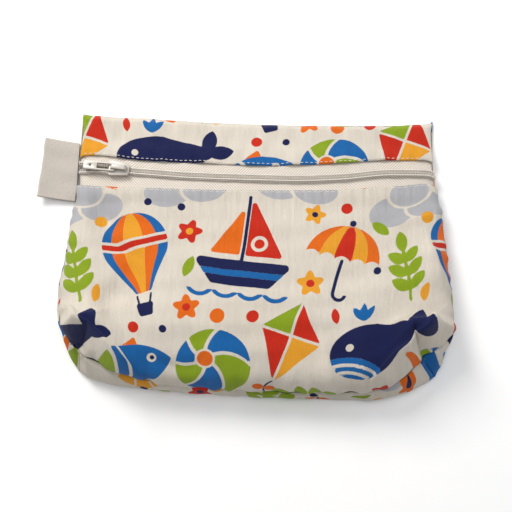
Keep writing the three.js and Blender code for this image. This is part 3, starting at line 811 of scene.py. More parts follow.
class Print:
    """The screens of one printed cloth. Each colour that is laid on knocks out what lies under it."""

    def __init__(self, u, v):
        self.u, self.v = u, v
        self.screens = {ink: np.full(u.shape, FAR) for ink in INKS}

    def lay(self, ink, distance):
        """One shape in one ink. The others keep a hair of overlap, as a printer's trap does."""
        for other in INKS:
            if other != ink:
                self.screens[other] = both(self.screens[other], -(distance + TRAP))
        self.screens[ink] = either(self.screens[ink], distance)

    def spare(self, distance):
        """Leaves the bare cloth inside a shape."""
        for ink in INKS:
            self.screens[ink] = both(self.screens[ink], -distance)

    def place(self, x, y, degrees):
        """The shape's own coordinates, turned, in the nearest of its repeats."""
        p = np.mod(self.u - x + REPEAT_WIDE / 2, REPEAT_WIDE) - REPEAT_WIDE / 2
        q = np.mod(self.v - y + REPEAT_HIGH / 2, REPEAT_HIGH) - REPEAT_HIGH / 2
        return turned(p, q, degrees)


# %% The motifs


def balloon(cloth, p, q):
    """A striped hot-air balloon: a round top with tangents down to its neck, squeezed for each pair of
    stripes."""
    def envelope(squeeze):
        x = p / squeeze
        cone = patch(x, q, [(-15.3, -1.5), (15.3, -1.5), (4.5, -19), (-4.5, -19)])
        return either(disc(x, q, 18, 0, 8), cone) * squeeze

    top = envelope(1)
    cloth.lay("blue", top)
    cloth.lay("orange", envelope(0.7))
    cloth.lay("amber", envelope(0.3))
    cloth.spare(both(top, abs(q - 8.5) - 3))
    cloth.lay("red", both(top, abs(q - 8.5) - 1.5))
    for side in (-1, 1):
        cloth.lay("navy", bar(p * side, q, 4, -20.5, 2.8, -26, 0.6))
    cloth.lay("navy", patch(p, q, [(-3.2, -26.5), (3.2, -26.5), (2.6, -31), (-2.6, -31)], 1.3))


def boat(cloth, p, q):
    """A sailing boat: two sails, a mast, a banded hull and four waves."""
    sail = patch(p, q, [(2.6, -4), (2.6, 24), (19, -4)], 1.3)
    cloth.lay("red", sail)
    cloth.lay("orange", patch(p, q, [(-3.0, -4), (-3.0, 18), (-15.5, -4)], 1.3))
    cloth.spare(both(sail, abs(disc(p, q, 3.6, 7.8, 2)) - 0.9))
    cloth.lay("navy", bar(p, q, 0, -8, 0, 28, 0.9))
    hull = patch(p, q, [(-21, -10.5), (23, -10.5), (15, -20), (-13, -20)], 2.2)
    cloth.lay("navy", hull)
    cloth.lay("blue", both(hull, abs(q + 15.6) - 1.8))
    for x in (-19.5, -6.5, 6.5, 19.5):
        cloth.lay("blue", both(abs(disc(p, q, 7, x, -21.5)) - 1.1, q + 25.6))


def whale(cloth, p, q):
    """A whale: a round head that narrows to its tail, a paler belly, two flukes and a spout."""
    body = either(oval(p, q, 21, 14, -7, 0), patch(p, q, [(-3, 13.2), (22, 6.5), (23, 2), (-1, -13)], 0.8))
    flukes = either(leaf(*turned(p - 21, q - 4, 78), 15, 8), leaf(*turned(p - 21, q - 4, 8), 15, 8))
    cloth.lay("navy", either(body, flukes))
    belly = both(body, disc(p, q, 30, -22, -31))
    cloth.lay("blue", belly)
    for r in (22.5, 26.3):
        cloth.spare(both(belly, abs(disc(p, q, r, -22, -31)) - 0.85))
    cloth.spare(disc(p, q, 1.9, -18, 3.5))
    for degrees in (55, 90, 125):
        cloth.lay("blue", leaf(*turned(p + 9, q - 16, degrees), 10, 3.6))


def ball(cloth, p, q):
    """A beach ball: curved sectors in two colours round a cap."""
    whole = disc(p, q, 19)
    x, y = p + 3.5, q - 4.5
    swirl = np.arctan2(y, x) + 0.035 * np.hypot(x, y)
    sector = np.cos(3 * swirl) * np.hypot(x, y) / 3
    cloth.lay("green", whole)
    cloth.lay("blue", both(whole, sector))
    cloth.spare(both(whole, abs(sector) - 0.9))
    cloth.spare(disc(x, y, 5.2))
    cloth.lay("orange", disc(x, y, 4.1))


def fish(cloth, p, q):
    """A fish: a leaf for its body, a tail, two fins and bare stripes."""
    cloth.lay("orange", patch(p, q, [(-17, 0), (-28, 9.5), (-24.5, 0), (-28, -9.5)], 1.2))
    cloth.lay("orange", patch(p, q, [(-6, 9), (7, 14), (8, 7)], 1.0))
    cloth.lay("orange", patch(p, q, [(-3, -9), (5, -13), (6, -8)], 0.8))
    body = leaf(p + 21, q, 45, 24)
    cloth.lay("blue", body)
    cloth.lay("green", both(body, disc(p, q, 19, -26, 0)))
    for x in (-27.5, -20):
        cloth.spare(both(body, abs(disc(p, q, 20, x, 0)) - 0.9))
    cloth.spare(disc(p, q, 2.6, 14, 2.6))
    cloth.lay("navy", disc(p, q, 1.3, 14.3, 2.6))


def kite(cloth, p, q):
    """A kite in four quarters, with a waving tail and its bows."""
    whole = patch(p, q, [(0, 20), (14.5, 3), (0, -21), (-14.5, 3)], 0.8)
    cloth.lay("red", whole)
    cloth.lay("green", both(whole, p, 3 - q))
    cloth.lay("amber", both(whole, -p, q - 3))
    cloth.spare(both(whole, either(abs(p), abs(q - 3)) - 0.7))
    sway = 2.4 * np.sin((q + 22) / 3.4)
    cloth.lay("navy", both(abs(p - sway) - 0.6, abs(q + 31) - 9))
    for y in (-28, -37):
        bow = 2.4 * np.sin((y + 22) / 3.4)
        cloth.lay("orange", either(leaf(p - bow, q - y, 6.5, 4.4), leaf(bow - p, q - y, 6.5, 4.4)))


def parasol(cloth, p, q):
    """A parasol: a half round of stripes with a scalloped hem, on a pole with a hook."""
    cloth.lay("navy", bar(p, q, 0, -3, 0, -21, 0.9))
    cloth.lay("navy", both(abs(disc(p, q, 3.2, 3.2, -21)) - 0.9, q + 21))

    def dome(squeeze):
        x = p / squeeze
        return both(disc(x, q, 20, 0, -3), -(q + 3)) * squeeze

    scallops = either(*[disc(p, q, 4.6, x, -5.0) for x in (-16.5, -8.2, 8.2, 16.5)], disc(p, q, 4.6, 0, -5.0))
    cloth.lay("orange", both(dome(1), -scallops))
    cloth.lay("amber", both(dome(0.64), -scallops))
    cloth.lay("red", both(dome(0.24), -scallops))
    cloth.lay("navy", disc(p, q, 1.8, 0, 18.5))


def sprig(cloth, p, q):
    """A stem with pairs of leaves."""
    cloth.lay("green", bar(p, q, 0, -19, 0, 10, 0.95))
    for y, long in ((-13, 12.5), (-5, 12.5), (3, 11)):
        for side in (-1, 1):
            cloth.lay("green", leaf(*turned(p * side, q - y, 38), long, 6.4))
    cloth.lay("green", leaf(*turned(p, q - 9, 90), 12, 6.6))


def pebbles(cloth, p, q):
    """Three soft grey pebbles."""
    for x, y, wide, high in ((-10, -2, 13, 8.6), (10, -3, 12, 7.6), (1.5, 6.5, 11, 7.4)):
        stone = oval(p, q, wide, high, x, y)
        cloth.spare(stone - 1.2)
        cloth.lay("grey", stone)


def shell(cloth, p, q):
    """A fan shell with bare ribs."""
    fan = both(disc(p, q, 13, 0, -3), -(q + 7))
    cloth.lay("amber", fan)
    for degrees in (-36, 0, 36):
        c, s = cos_sin(degrees)
        cloth.spare(both(fan, bar(p, q, 0, -8, 17 * s, 17 * c - 8, 0.65)))
    cloth.lay("orange", patch(p, q, [(-4, -6.5), (4, -6.5), (2.6, -10.5), (-2.6, -10.5)], 0.9))


def blossom(ink, heart, size):
    """A five-petalled flower, as a function that lays it in those inks."""

    def lay(cloth, p, q):
        far = np.hypot(p, q)
        cloth.lay(ink, (far - size * (0.8 + 0.2 * np.cos(5 * np.arctan2(q, p)))) * 0.8)
        cloth.lay(heart, disc(p, q, 0.3 * size))

    return lay


def dot(ink, r):
    """A round dot of a radius, as a function that lays it."""
    return lambda cloth, p, q: cloth.lay(ink, disc(p, q, r))


def drop(ink, long):
    """A single leaf, as a function that lays it."""
    return lambda cloth, p, q: cloth.lay(ink, leaf(p + long / 2, q, long, 0.46 * long))


LAYOUT = [
    (balloon, -62, 18, 14), (boat, -6, 26, -6), (whale, 66, -33, 1), (ball, -20, -38, 10),
    (parasol, 46, 20, -16), (fish, -64, -42, 18), (kite, 18, -25, -20),
    (pebbles, -38, 60, 10), (pebbles, 82, 47, 12), (pebbles, 22, 62, -8),
    (sprig, 80, 11, 10), (sprig, 30, -60, 72), (shell, -76, 68, -14), (shell, 56, 69, 24),
    (blossom("red", "amber", 7), -35, 34, 0), (blossom("amber", "red", 7.2), 29, 5, 20),
    (blossom("orange", "navy", 6.8), -42, -64, 10), (blossom("red", "navy", 6.6), 68, -62, 0),
    (blossom("orange", "red", 7), -34, -8, 25), (blossom("amber", "navy", 6), 31, 44, 0),
    (drop("green", 12), -34, 14, 70), (drop("red", 9), 42, -13, 100), (drop("amber", 11), -84, -4, 75),
    (drop("green", 12), 66, 34, -40), (drop("green", 12), -16, -68, 20),
    (dot("navy", 2.1), -40, 48, 0), (dot("navy", 2.1), 64, 10, 0), (dot("navy", 2.2), -78, -64, 0),
    (dot("navy", 2.1), 8, -66, 0), (dot("navy", 2.1), -58, 50, 0), (dot("red", 3.2), 0, -12, 0),
    (dot("red", 3.1), 48, 47, 0), (dot("red", 3.0), -62, -20, 0), (dot("green", 3.3), -10, 66, 0),
    (dot("green", 3.3), 88, -60, 0), (dot("orange", 3.8), -18, -12, 0), (dot("red", 3.0), 86, 68, 0),
    (dot("amber", 3.4), -84, 38, 0), (dot("amber", 3.4), -24, -60, 0), (dot("navy", 2.0), -46, -20, 0),
]


def print_cloth(piece, sheet, across, up, shift_u, shift_v):
    """Works the repeat out over a sheet and stores each screen on the mesh, in millimetres. across and up are
    1 where the sheet's own ways run along the print's and -1 where they run against them."""
    cloth = Print(across * sheet.u + shift_u, up * sheet.v + shift_v)
    for motif, x, y, degrees in LAYOUT:
        motif(cloth, *cloth.place(x, y, degrees))
    for ink in INKS:
        values = np.clip(np.tile(cloth.screens[ink].ravel(), 2), -SCREEN_REACH, SCREEN_REACH)
        piece.data.attributes.new("screen_" + ink, "FLOAT", "POINT").data.foreach_set("value", values)
    inked = np.mean(np.min([cloth.screens[ink] for ink in INKS], 0) < 0)
    print(piece.name, "share under ink", round(float(inked), 2))


print_cloth(front_cloth, front, 1, -1, 0, 58)
print_cloth(band_cloth, band, 1, 1, -62, -34)
print_cloth(back_cloth, back, -1, -1, 40, 95)

# %% [markdown]
# ## Colours and a way to write shader maths
# Shader nodes wired by hand are hard to read back. Here a small class holds a socket and turns Python's own
# operators into Math nodes, so a mask is written like any sum. Every other node comes from one method.

# %% Sockets as numbers


def hue(red, green, blue):
    """A colour given in screen values from 0 to 255, as the linear one that a shader uses."""
    c = np.array([red, green, blue]) / 255
    return (*np.where(c <= 0.04045, c / 12.92, ((c + 0.055) / 1.055) ** 2.4), 1.0)


class Wire:
    """An output socket that can be added, multiplied and compared like a number."""

    def __init__(self, paint, socket):
        self.paint, self.socket = paint, socket

    def math(self, operation, *values):
        return self.paint.node("Math", {"operation": operation}, dict(enumerate(values)))

    def __add__(self, other):
        return self.math("ADD", self, other)

    def __sub__(self, other):
        return self.math("SUBTRACT", self, other)

    def __rsub__(self, other):
        return self.math("SUBTRACT", other, self)

    def __mul__(self, other):
        return self.math("MULTIPLY", self, other)

    __radd__, __rmul__ = __add__, __mul__

    def sine(self):
        return self.math("SINE", self)

    def least(self, other):
        return self.math("MINIMUM", self, other)

    def most(self, other):
        return self.math("MAXIMUM", self, other)

    def held(self):
        """Held between 0 and 1."""
        return self.most(0).least(1)


class Paint:
    """A material, with one method that makes every node."""

    def __init__(self, name, **fixed):
        self.material = bpy.data.materials.new(name)
        self.material.use_nodes = True
        self.tree = self.material.node_tree
        self.shader = self.tree.nodes["Principled BSDF"]
        for socket, value in fixed.items():
            self.shader.inputs[socket.replace("_", " ")].default_value = value

    def feed(self, node, sockets):
        """Sets or links sockets, each by its name or number."""
        for key, value in sockets.items():
            if isinstance(value, Wire):
                self.tree.links.new(value.socket, node.inputs[key])
            else:
                node.inputs[key].default_value = value

    def node(self, kind, settings=None, sockets=None, out=0):
        node = self.tree.nodes.new("ShaderNode" + kind)
        for name, value in (settings or {}).items():
            setattr(node, name, value)
        self.feed(node, sockets or {})
        return Wire(self, node.outputs[out])

    def blend(self, share, under, over):
        """Two colours mixed: under where share is 0 and over where it is 1."""
        return self.node("Mix", {"data_type": "RGBA"}, {0: share, 6: under, 7: over}, 2)

    def number(self, name):
        """A value stored on the mesh's points."""
        return self.node("Attribute", {"attribute_name": name}, {}, 2)

    def flat_place(self):
        """Where a point lies on the flat cloth, in metres: a vector, and its two parts."""
        place = self.node("UVMap", {"uv_map": "flat"})
        parts = self.node("SeparateXYZ", {}, {0: place}).socket.node.outputs
        return place, Wire(self, parts[0]), Wire(self, parts[1])

    def solid_place(self):
        """Where a point lies in the object's own space, in metres."""
        return self.node("TexCoord", {}, {}, 3)

    def waves(self, along, length):
        """Even waves of a length in metres."""
        return (along * (2 * np.pi / length)).sine()

    def stretched(self, vector, y):
        """The vector with its second part scaled, so that a pattern is drawn out that way."""
        return self.node("Mapping", {}, {0: vector, 3: (1.0, y, 1.0)})

    def noise(self, vector, scale, detail=2.0, rough=0.5):
        """Soft noise about 0, from -1 to 1."""
        sockets = {"Vector": vector, "Scale": scale, "Detail": detail, "Roughness": rough}
        return self.node("TexNoise", {}, sockets) * 2 - 1

    def finish(self, colour, roughness, height, deep):
        """Feeds the shader its colour, its roughness, and a bump whose height of 1 stands deep metres
        proud."""
        bump = self.node("Bump", {}, {"Strength": 1.0, "Distance": deep, "Height": height})
        self.feed(self.shader, {"Base Color": colour, "Roughness": roughness, "Normal": bump})
        return self.material


def dress(material, *pieces):
    """Gives pieces one material in place of any that they had."""
    for piece in pieces:
        piece.data.materials.clear()
        piece.data.materials.append(material)


# %% [markdown]
# ## The printed cloth's finish
# The cloth is a fine crepe with a laminated back: matt, with a soft sheen, a weave of about half a millimetre
# and long vertical crinkles. The inks are laid in turn over the bare colour, each by its own screen: half
# covered where the distance is 0, and ragged by a hair because ink creeps along the threads.

# %% Printed cloth
THREAD = 0.00042
INK_DEEPER = 0.82
INK_SOFT = 0.28
COLOURS = {
    "grey": hue(186, 186, 190),
    "blue": hue(20, 102, 172),
    "navy": hue(20, 28, 78),
    "green": hue(142, 168, 30),
    "orange": hue(232, 108, 18),
    "amber": hue(238, 164, 44),
    "red": hue(206, 42, 18),
}
BARE = hue(229, 221, 208)
# The darker bare tone: for the random mottle, and for painted shade in the crinkles' hollows
BARE_MOTTLED_AND_SHADED = hue(207, 197, 182)


def printed_cloth():
    paint = Paint("printed_cloth", Sheen_Weight=0.03, Sheen_Roughness=0.5, Specular_IOR_Level=0.2)
    place, u, v = paint.flat_place()
    speck = paint.noise(place, 1500, 2)
    creep = paint.noise(place, 700, 1) * 0.12
    cloud = paint.noise(place, 22, 2)
    crinkle = paint.noise(paint.stretched(place, 0.14), 420, 2.5, 0.6)
    # The bare colour mottles at random by cloud and speck, and is painted darker where the crinkles dip:
    # painted shade of the crinkles
    colour = paint.blend((cloud * 0.4 + speck * 0.3 - crinkle * 0.4 + 0.4).held(), BARE, BARE_MOTTLED_AND_SHADED)
    inked = None
    for ink in INKS:
        cover = (0.5 - (paint.number("screen_" + ink) + creep) * (1 / INK_SOFT)).held()
        deeper = tuple(INK_DEEPER * c for c in COLOURS[ink][:3]) + (1.0,)
        tone = paint.blend((cloud * 0.4 + speck * 0.6 + 0.4).held(), COLOURS[ink], deeper)
        colour = paint.blend(cover, colour, tone)
        inked = cover if inked is None else inked.most(cover)
    threads = paint.waves(u, THREAD) * paint.waves(v, THREAD)
    crepe = paint.noise(paint.stretched(place, 0.5), 1100, 1)
    height = crinkle * 0.62 + crepe * 0.22 + threads * 0.16 - inked * 0.04
    return paint.finish(colour, 0.74 - inked * 0.08 + speck * 0.05, height, 0.0005)


dress(printed_cloth(), front_cloth, band_cloth, back_cloth)

# %% [markdown]
# ## The zip
# A coil zip is two woven tapes with a nylon spring sewn along each. The tapes run under the cloth's folded
# edges and into the side seams. Each turn of the spring is one bent thread, so it is a short tube of a few
# faces, and all turns of a side are one mesh from a single array. A sewn cord holds each coil down.

# %% Tapes
ZIP_END = 0.985
PITCH = 1.42
TAPE_WALL = 0.6
SLIDER_NOSE = SLIDER_AT - SLIDER_LONG / 2
SLIDER_TAIL = SLIDER_AT + SLIDER_LONG / 2
CLOSING = SLIDER_NOSE + POST_SET + POST_LONG + RUNNING_GAP
POST_ROOM = POST_WIDE + 2 * RUNNING_GAP


def parting(x):
    """How far apart the coils are: closed behind the slider, and open round its post and on to the seam."""
    opened = np.clip((x - SLIDER_TAIL) / (CLOSING - SLIDER_TAIL), 0, 1)
    mouth = smooth(-x, -SLIDER_NOSE, HALF_WIDTH)
    return lerp(COIL_PARTING, lerp(POST_ROOM, ZIP_MOUTH, mouth), opened)


def along_zip(a, off):
    """Points of the front's own surface at a distance off above the zip's middle line."""
    return front_row(a, zip_middle(a) + off)


ZIP_A = joined(even(-ZIP_END, -0.7, 60), even(-0.7, FLAT, 360), even(FLAT, ZIP_END, 40))
OPENING = parting(along_zip(ZIP_A, 0 * ZIP_A)[:, 0])


def zip_tape(side, name, replaced):
    """A tape from under its coil to under the cloth, a little below the front's face."""
    near = OPENING / 2 + (TAPE_PARTING - COIL_PARTING) / 2
    edge = zip_above if side > 0 else zip_below
    shown = abs(edge(ZIP_A) - zip_middle(ZIP_A))

    def surface(a, b):
        return along_zip(a, side * lerp(near, shown + TAPE_TUCK, b))

    tape = Sheet(surface, ZIP_A, even(0, 1, 22), side)
    slow = ripples(tape.u, tape.v, seed=21, longest=30, shortest=9, count=5)
    tape.relieve(0.16 * slow - CLOTH - SEAM_GAP, np.full(slow.shape, TAPE_WALL))
    return sew(name, tape, "zip_tape", replaced), tape


tape_upper, upper = zip_tape(1, "tape_upper_weave", "zip_tape_upper")
tape_lower, lower = zip_tape(-1, "tape_lower_weave", "zip_tape_lower")

# %% Coils and their cords


def tube(path, across, around, radius, sides):
    """Tubes along paths: rings of points at radius round every station, in the plane of the two unit ways.
    path is (tubes, stations, 3), and so are the ways. Each end is closed by its ring drawn to a point."""
    angle = np.linspace(0, 2 * np.pi, sides, endpoint=False)
    ring = across[..., None, :] * np.cos(angle)[:, None] + around[..., None, :] * np.sin(angle)[:, None]
    rings = path[..., None, :] + ring * np.broadcast_to(radius, path.shape[:2])[..., None, None]
    count, stations = path.shape[:2]
    verts = np.concatenate([path[:, :1], rings.reshape(count, -1, 3), path[:, -1:]], 1)
    size = verts.shape[1]
    k = np.arange(sides)
    after = (k + 1) % sides
    rows = 1 + sides * np.arange(stations - 1)[:, None]
    quads = np.stack([rows + k, rows + after, rows + sides + after, rows + sides + k], -1).reshape(-1, 4)
    last = size - 1 - sides
    first_tip = np.stack([0 * k, 1 + after, 1 + k], -1)
    last_tip = np.stack([0 * k + size - 1, last + k, last + after], -1)
    shift = size * np.arange(count)[:, None, None]
    tips = (np.concatenate([first_tip, last_tip]) + shift).reshape(-1, 3)
    return verts.reshape(-1, 3), (quads + shift).reshape(-1, 4).tolist() + tips.tolist()


STEP_A, STEP_OFF = 0.002, 0.4


class Rail:
    """The zip's middle line, to lay things along it by distance."""

    def __init__(self):
        line = along_zip(ZIP_A, 0 * ZIP_A)
        self.reach = reach_along(line)

    def frame(self, s, off):
        """The place at distance s along and off across it, and the unit ways there."""
        a = np.interp(s, self.reach, ZIP_A)
        at = along_zip(a, off)
        forward = unit(along_zip(a + STEP_A, off) - along_zip(a - STEP_A, off))
        across = along_zip(a, off + STEP_OFF) - along_zip(a, off - STEP_OFF)
        out = unit(np.cross(forward, across))
        return at, forward, np.cross(out, forward), out


rail = Rail()
COIL_THREAD = 0.36
CORD_STEP = 0.4
CORD_OFF = 1.42
CORD_THICK = 0.3
COIL_PATH = table(
    "off high lean",
    (1.95, -1.05, 0.0),
    (2.2, -0.6, 0.02),
    (2.0, -0.12, 0.08),
    (1.2, 0.0, 0.2),
    (0.35, 0.02, 0.34),
    (-0.18, -0.16, 0.42),
    (-0.24, -0.6, 0.5),
    (0.3, -0.95, 0.56),
)


def coil(side, name, replaced):
    """One bent thread for each turn: the path in COIL_PATH, leaning along the zip by a share of the pitch."""
    turns = np.arange(PITCH, rail.reach[-1] - PITCH, PITCH) + (0 if side > 0 else PITCH / 2)
    apart = np.interp(turns, rail.reach, OPENING) - COIL_PARTING
    s = turns[:, None] + PITCH * (COIL_PATH["lean"] - 0.25)
    off = COIL_PATH["off"] + apart[:, None] / 2
    at, forward, _, out = rail.frame(s, side * off)
    path = at + out * COIL_PATH["high"][:, None]
    way = unit(np.gradient(path, axis=1))
    first = unit(np.cross(way, forward))
    piece = make(name, *tube(path, first, np.cross(way, first), COIL_THREAD, sides=6), "zip_coil")
    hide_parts(replaced)
    return piece


def coil_cord(side):
    """The sewn cord on a coil: one long tube that swells once for each stitch."""
    s = np.arange(PITCH, rail.reach[-1] - PITCH, CORD_STEP)
    apart = np.interp(s, rail.reach, OPENING) - COIL_PARTING
    swell = 0.5 + 0.5 * np.sin(2 * np.pi * s / (2 * PITCH))
    at, _, across, out = rail.frame(s, side * (CORD_OFF + apart / 2))
    path = at + out * (CORD_THICK + 0.05 * swell)[:, None]
    return tube(path[None], across[None], out[None], (CORD_THICK + 0.08 * swell)[None], sides=8)


coil_upper = coil(1, "coil_upper_turns", "zip_coil_upper")
coil_lower = coil(-1, "coil_lower_turns", "zip_coil_lower")
cord_upper = make("coil_upper_cord", *coil_cord(1), "zip_coil")
cord_lower = make("coil_lower_cord", *coil_cord(-1), "zip_coil")

# %% [markdown]
# ## Topstitching
# A row of thread stitches holds each folded edge down on its tape. Each stitch is a short tube that dips at
# both ends into the cloth.

# %% Stitches
STITCH_SET = 1.1
STITCH_CLEAR = 4.0
BOW_HIGH, END_SUNK = 0.26, 0.14
END_ROUND, BOW_ROUNDER = 0.12, 0.08


def stitches(sheet, name, pitch, long):
    """Short tubes, pitch apart and long each, on the line that lies STITCH_SET from a sheet's first edge."""
    step = sheet.start
    row = np.argmax(step >= STITCH_SET, axis=0)
    index = np.arange(step.shape[1])
    share = ((STITCH_SET - step[row - 1, index]) / (step[row, index] - step[row - 1, index]))[:, None]
    line = lerp(sheet.face[row - 1, index], sheet.face[row, index], share)
    out = unit(lerp(sheet.out[row - 1, index], sheet.out[row, index], share))
    reach = reach_along(line)
    starts = np.arange(STITCH_CLEAR, reach[-1] - STITCH_CLEAR - long, pitch)
    t = even(0, 1, 6)
    s = starts[:, None] + long * t
    at = np.stack([np.interp(s, reach, line[:, k]) for k in range(3)], -1)
    up = unit(np.stack([np.interp(s, reach, out[:, k]) for k in range(3)], -1))
    bow = np.sin(np.pi * t)
    path = at + up * (BOW_HIGH * bow - END_SUNK)[:, None]
    way = unit(np.gradient(path, axis=1))
    radius = END_ROUND + BOW_ROUNDER * bow[None] + 0 * s
    return make(name, *tube(path, np.cross(up, way), up, radius, sides=6), "zip_tape")


stitches_lower = stitches(front, "stitches_lower", pitch=3.3, long=2.5)
stitches_upper = stitches(band, "stitches_upper", pitch=2.65, long=1.7)

# %% [markdown]
# ## Slider, pull tab and label
# The slider and its tab are cast metal under thick enamel, so every edge is soft. Their solids already have
# the right shape. A merged copy of each gets a bevel, and stands for the solid. The label is a woven tape,
# folded double round its outer end.

# %% Cast pieces


def softened(node, name, body, wide):
    """A merged copy of a node with its edges rounded off wide millimetres back."""
    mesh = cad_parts[node].data.copy()
    piece = show(name, mesh)
    weld = piece.modifiers.new("weld", "WELD")
    weld.merge_threshold = 1e-6
    bevel = piece.modifiers.new("bevel", "BEVEL")
    bevel.width = wide * MM
    bevel.segments = 3
    bevel.limit_method = "ANGLE"
    bevel.angle_limit = np.radians(40)
    bevel.use_clamp_overlap = True
    mesh.shade_smooth()
    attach(piece, body)
    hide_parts(node)
    print(name, "faces", len(mesh.polygons))
    return piece


slider = softened("slider_body", "slider_enamel", "bag", wide=0.28)
pull = softened("pull_tab", "pull_enamel", "pull_tab", wide=0.22)

# %% Label


def label_surface(b, s):
    """The label's outside. s runs from -1 on the underside, round the fold, to 1 on top, and b across it."""
    fold = LABEL_THICK + LABEL_SLIT / 2
    straight = LABEL_REACH - fold
    y = y_at(LABEL_DOWN) + b * LABEL_HIGH / 2
    angle = np.clip(2 * s, -1, 1) * np.pi / 2
    out = straight * (1 - np.maximum(2 * abs(s) - 1, 0)) + fold * np.cos(angle)
    far = out / LABEL_REACH
    z = LABEL_LIFT + fold * (1 - np.sin(angle)) + LABEL_CURL * far**2
    seam = seam_side(False, y)[..., 0]
    return points(seam - SEAM_GAP - out + b * LABEL_LEAN * far, y + LABEL_RISE * far, z)


LABEL_WALL = 0.55
round_the_fold = joined(even(-1, -0.5, 40), even(-0.5, 0.5, 16), even(0.5, 1, 40))
label = Sheet(label_surface, even(-1, 1, 60), round_the_fold, 1)
slow_waves = ripples(label.u, label.v, seed=31, longest=34, shortest=11, count=5)
label.relieve(0.24 * slow_waves, np.full(slow_waves.shape, LABEL_WALL))
label_weave = sew("label_weave", label, "label_weave", "label_loop")

# %% Finishes of tape, coil, enamel and label
TWILL = 0.0016
WARP = 0.00036
WEFT = 0.00052


def tape_finish():
    """Twill tape: fine slanting ridges, whose shade is also painted into the colour as darker slanting lines.
    """
    paint = Paint("zip_tape", Sheen_Weight=0.15, Specular_IOR_Level=0.35)
    place, u, v = paint.flat_place()
    twill = paint.waves(u - v, TWILL)
    fine = paint.noise(place, 1600, 1)
    # The twill's waves darken the colour between the ridges: painted shade of the ridges, with a random
    # mottle
    colour = paint.blend((twill * 0.45 + fine * 0.2 + 0.45).held(), hue(232, 224, 213), hue(192, 181, 168))
    return paint.finish(colour, 0.78 + fine * 0.06, twill * 0.7 + fine * 0.3, 0.0002)


def even_finish(name, grain, light, dark, rough, deep, **fixed):
    """One unevenness that moves the colour, the roughness and the height. grain is its scale and detail, and
    rough the roughness and how far that swings."""
    paint = Paint(name, **fixed)
    uneven = paint.noise(paint.solid_place(), *grain)
    colour = paint.blend((uneven * 0.5 + 0.5).held(), light, dark)
    return paint.finish(colour, rough[0] + uneven * rough[1], uneven, deep)


def coil_finish():
    """Nylon: smooth and slightly clear."""
    light, dark = hue(210, 202, 191), hue(182, 173, 161)
    return even_finish("zip_coil", (260, 2), light, dark, (0.42, 0.06), 0.00002, Coat_Weight=0.2,
                       Coat_Roughness=0.3)


def thread_finish():
    """Polyester thread: matt, with the fine steps of its twist."""
    light, dark = hue(236, 231, 222), hue(210, 203, 191)
    return even_finish("thread", (1800, 1), light, dark, (0.6, 0.08), 0.00005, Sheen_Weight=0.2)


def enamel_finish():
    """Thick white enamel with a slight orange peel."""
    paint = Paint("slider_enamel", Coat_Weight=0.3, Coat_Roughness=0.15)
    place = paint.solid_place()
    peel = paint.noise(place, 900, 2)
    worn = paint.noise(place, 240, 3)
    colour = paint.blend((worn * 0.5 + 0.4).held(), hue(192, 186, 177), hue(172, 165, 155))
    return paint.finish(colour, 0.34 + worn * 0.08, peel, 0.00002)


def label_finish():
    """A close satin weave: threads across and along, with small steps where they pass over each other."""
    paint = Paint("label_weave", Sheen_Weight=0.2, Specular_IOR_Level=0.35)
    place, u, v = paint.flat_place()
    warp, weft = paint.waves(u, WARP), paint.waves(v, WEFT)
    fine = paint.noise(place, 900, 2)
    # The weft's waves darken the colour between the threads: painted shade of the thread relief, with a
    # random mottle
    colour = paint.blend((weft * 0.2 + fine * 0.4 + 0.45).held(), hue(210, 202, 193), hue(178, 169, 159))
    return paint.finish(colour, 0.72 + fine * 0.06, warp * weft * 0.5 + fine * 0.4, 0.0001)


dress(tape_finish(), tape_upper, tape_lower)
dress(coil_finish(), coil_upper, coil_lower)
dress(thread_finish(), cord_upper, cord_lower, stitches_lower, stitches_upper)
dress(enamel_finish(), slider, pull)
dress(label_finish(), label_weave)

# %% [markdown]
# ## The cut size of each sheet
# Cloth can't stretch much, so each sheet's width and length on the flat cut are printed, with its area.

# %% Sheets


def cut_size(sheet):
    """The flat cut's width and length, from the middle lines of the grid, in metres."""
    wide = sheet.left[sheet.rows // 2, -1] * MM
    long = sheet.start[-1, sheet.columns // 2] * MM
    return float(wide), float(long)


def area(sheet):
    """The sheet's own area in square metres: half the length of the cross product of each cell's
    diagonals."""
    p = sheet.base
    cells = np.cross(p[1:, 1:] - p[:-1, :-1], p[1:, :-1] - p[:-1, 1:])
    return float(np.linalg.norm(cells, axis=-1).sum() / 2) * MM * MM


for piece, sheet in ((front_cloth, front), (band_cloth, band), (back_cloth, back), (tape_upper, upper),
                     (tape_lower, lower), (label_weave, label)):
    print(piece.name, "cut", [round(x, 4) for x in cut_size(sheet)], "area", round(area(sheet), 5))

# %% [markdown]
# ## Floor, light and camera
# The bag lies on a pale sheet under soft light that comes mostly from beyond its top left corner, and the
# camera looks almost straight down on it.

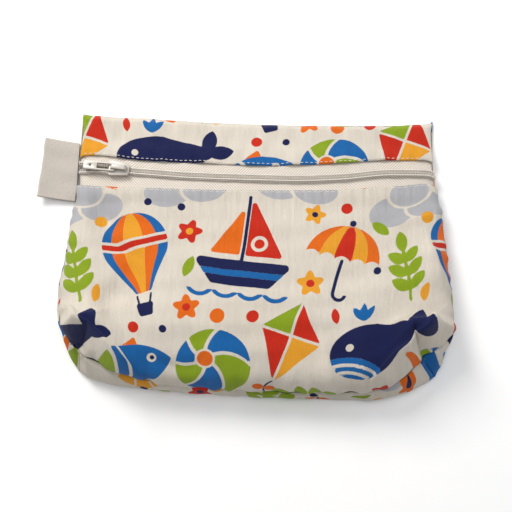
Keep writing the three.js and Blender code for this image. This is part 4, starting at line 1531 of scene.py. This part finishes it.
# %% Studio
ELEVATION = 82.0
CAMERA_AWAY = 470.0
LENS = 62.35
AIM = (0.0, 0.0, 10.0)
FLOOR_REACH = 1500
FLOOR_DROP = 0.05
LAMPS = [
    ("key", (-0.5, 0.7, 0.72), 0.45, 10.5, (1.0, 0.97, 0.93)),
    ("side", (0.8, 0.5, 0.6), 0.5, 2.0, (0.9, 0.94, 1.0)),
    ("overhead", (0.0, 0.1, 1.3), 1.0, 6.6, (1.0, 0.99, 0.98)),
]


def studio_floor():
    """A wide pale sheet at the height that the bag lies on."""
    p = even(-FLOOR_REACH, FLOOR_REACH, 6)
    x, y = np.meshgrid(p, p)
    mesh = bpy.data.meshes.new("floor")
    mesh.from_pydata(points(x, y, -FLOOR_DROP).reshape(-1, 3) * MM, [], grid_faces(7, 7))
    floor = show("floor", mesh)
    paint = Paint("floor", Specular_IOR_Level=0.1)
    place = paint.solid_place()
    grain = paint.noise(place, 60, 3)
    colour = paint.blend((grain * 0.5 + 0.5).held(), (0.96, 0.96, 0.96, 1), (0.94, 0.94, 0.94, 1))
    dress(paint.finish(colour, 0.9 + grain * 0.02, grain, 0.0001), floor)


def turn_to(thing, way):
    """Turns a light or a camera, which look along their own -Z, to look along a way."""
    thing.rotation_mode = "QUATERNION"
    thing.rotation_quaternion = Vector(way).to_track_quat("-Z", "Y")


def lamp(name, place, wide, power, tint):
    """A square soft light at a place in metres, turned to the origin."""
    light = bpy.data.lights.new(name, "AREA")
    light.size = wide
    light.energy = power
    light.color = tint
    stand = show(name, light)
    stand.location = place
    turn_to(stand, np.zeros(3) - place)


studio_floor()
for row in LAMPS:
    lamp(*row)

world = bpy.data.worlds.new("studio")
bpy.context.scene.world = world
world.use_nodes = True
background = world.node_tree.nodes["Background"]
background.inputs["Color"].default_value = (0.95, 0.97, 1.0, 1)
background.inputs["Strength"].default_value = 0.28

camera_data = bpy.data.cameras.new("camera")
camera_data.lens = LENS
camera = show("camera", camera_data)
c, s = cos_sin(ELEVATION)
away = np.array([0, -c, s]) * CAMERA_AWAY
camera.location = (np.array(AIM) + away) * MM
turn_to(camera, -away)
bpy.context.scene.camera = camera
bpy.context.scene.view_settings.view_transform = "Standard"
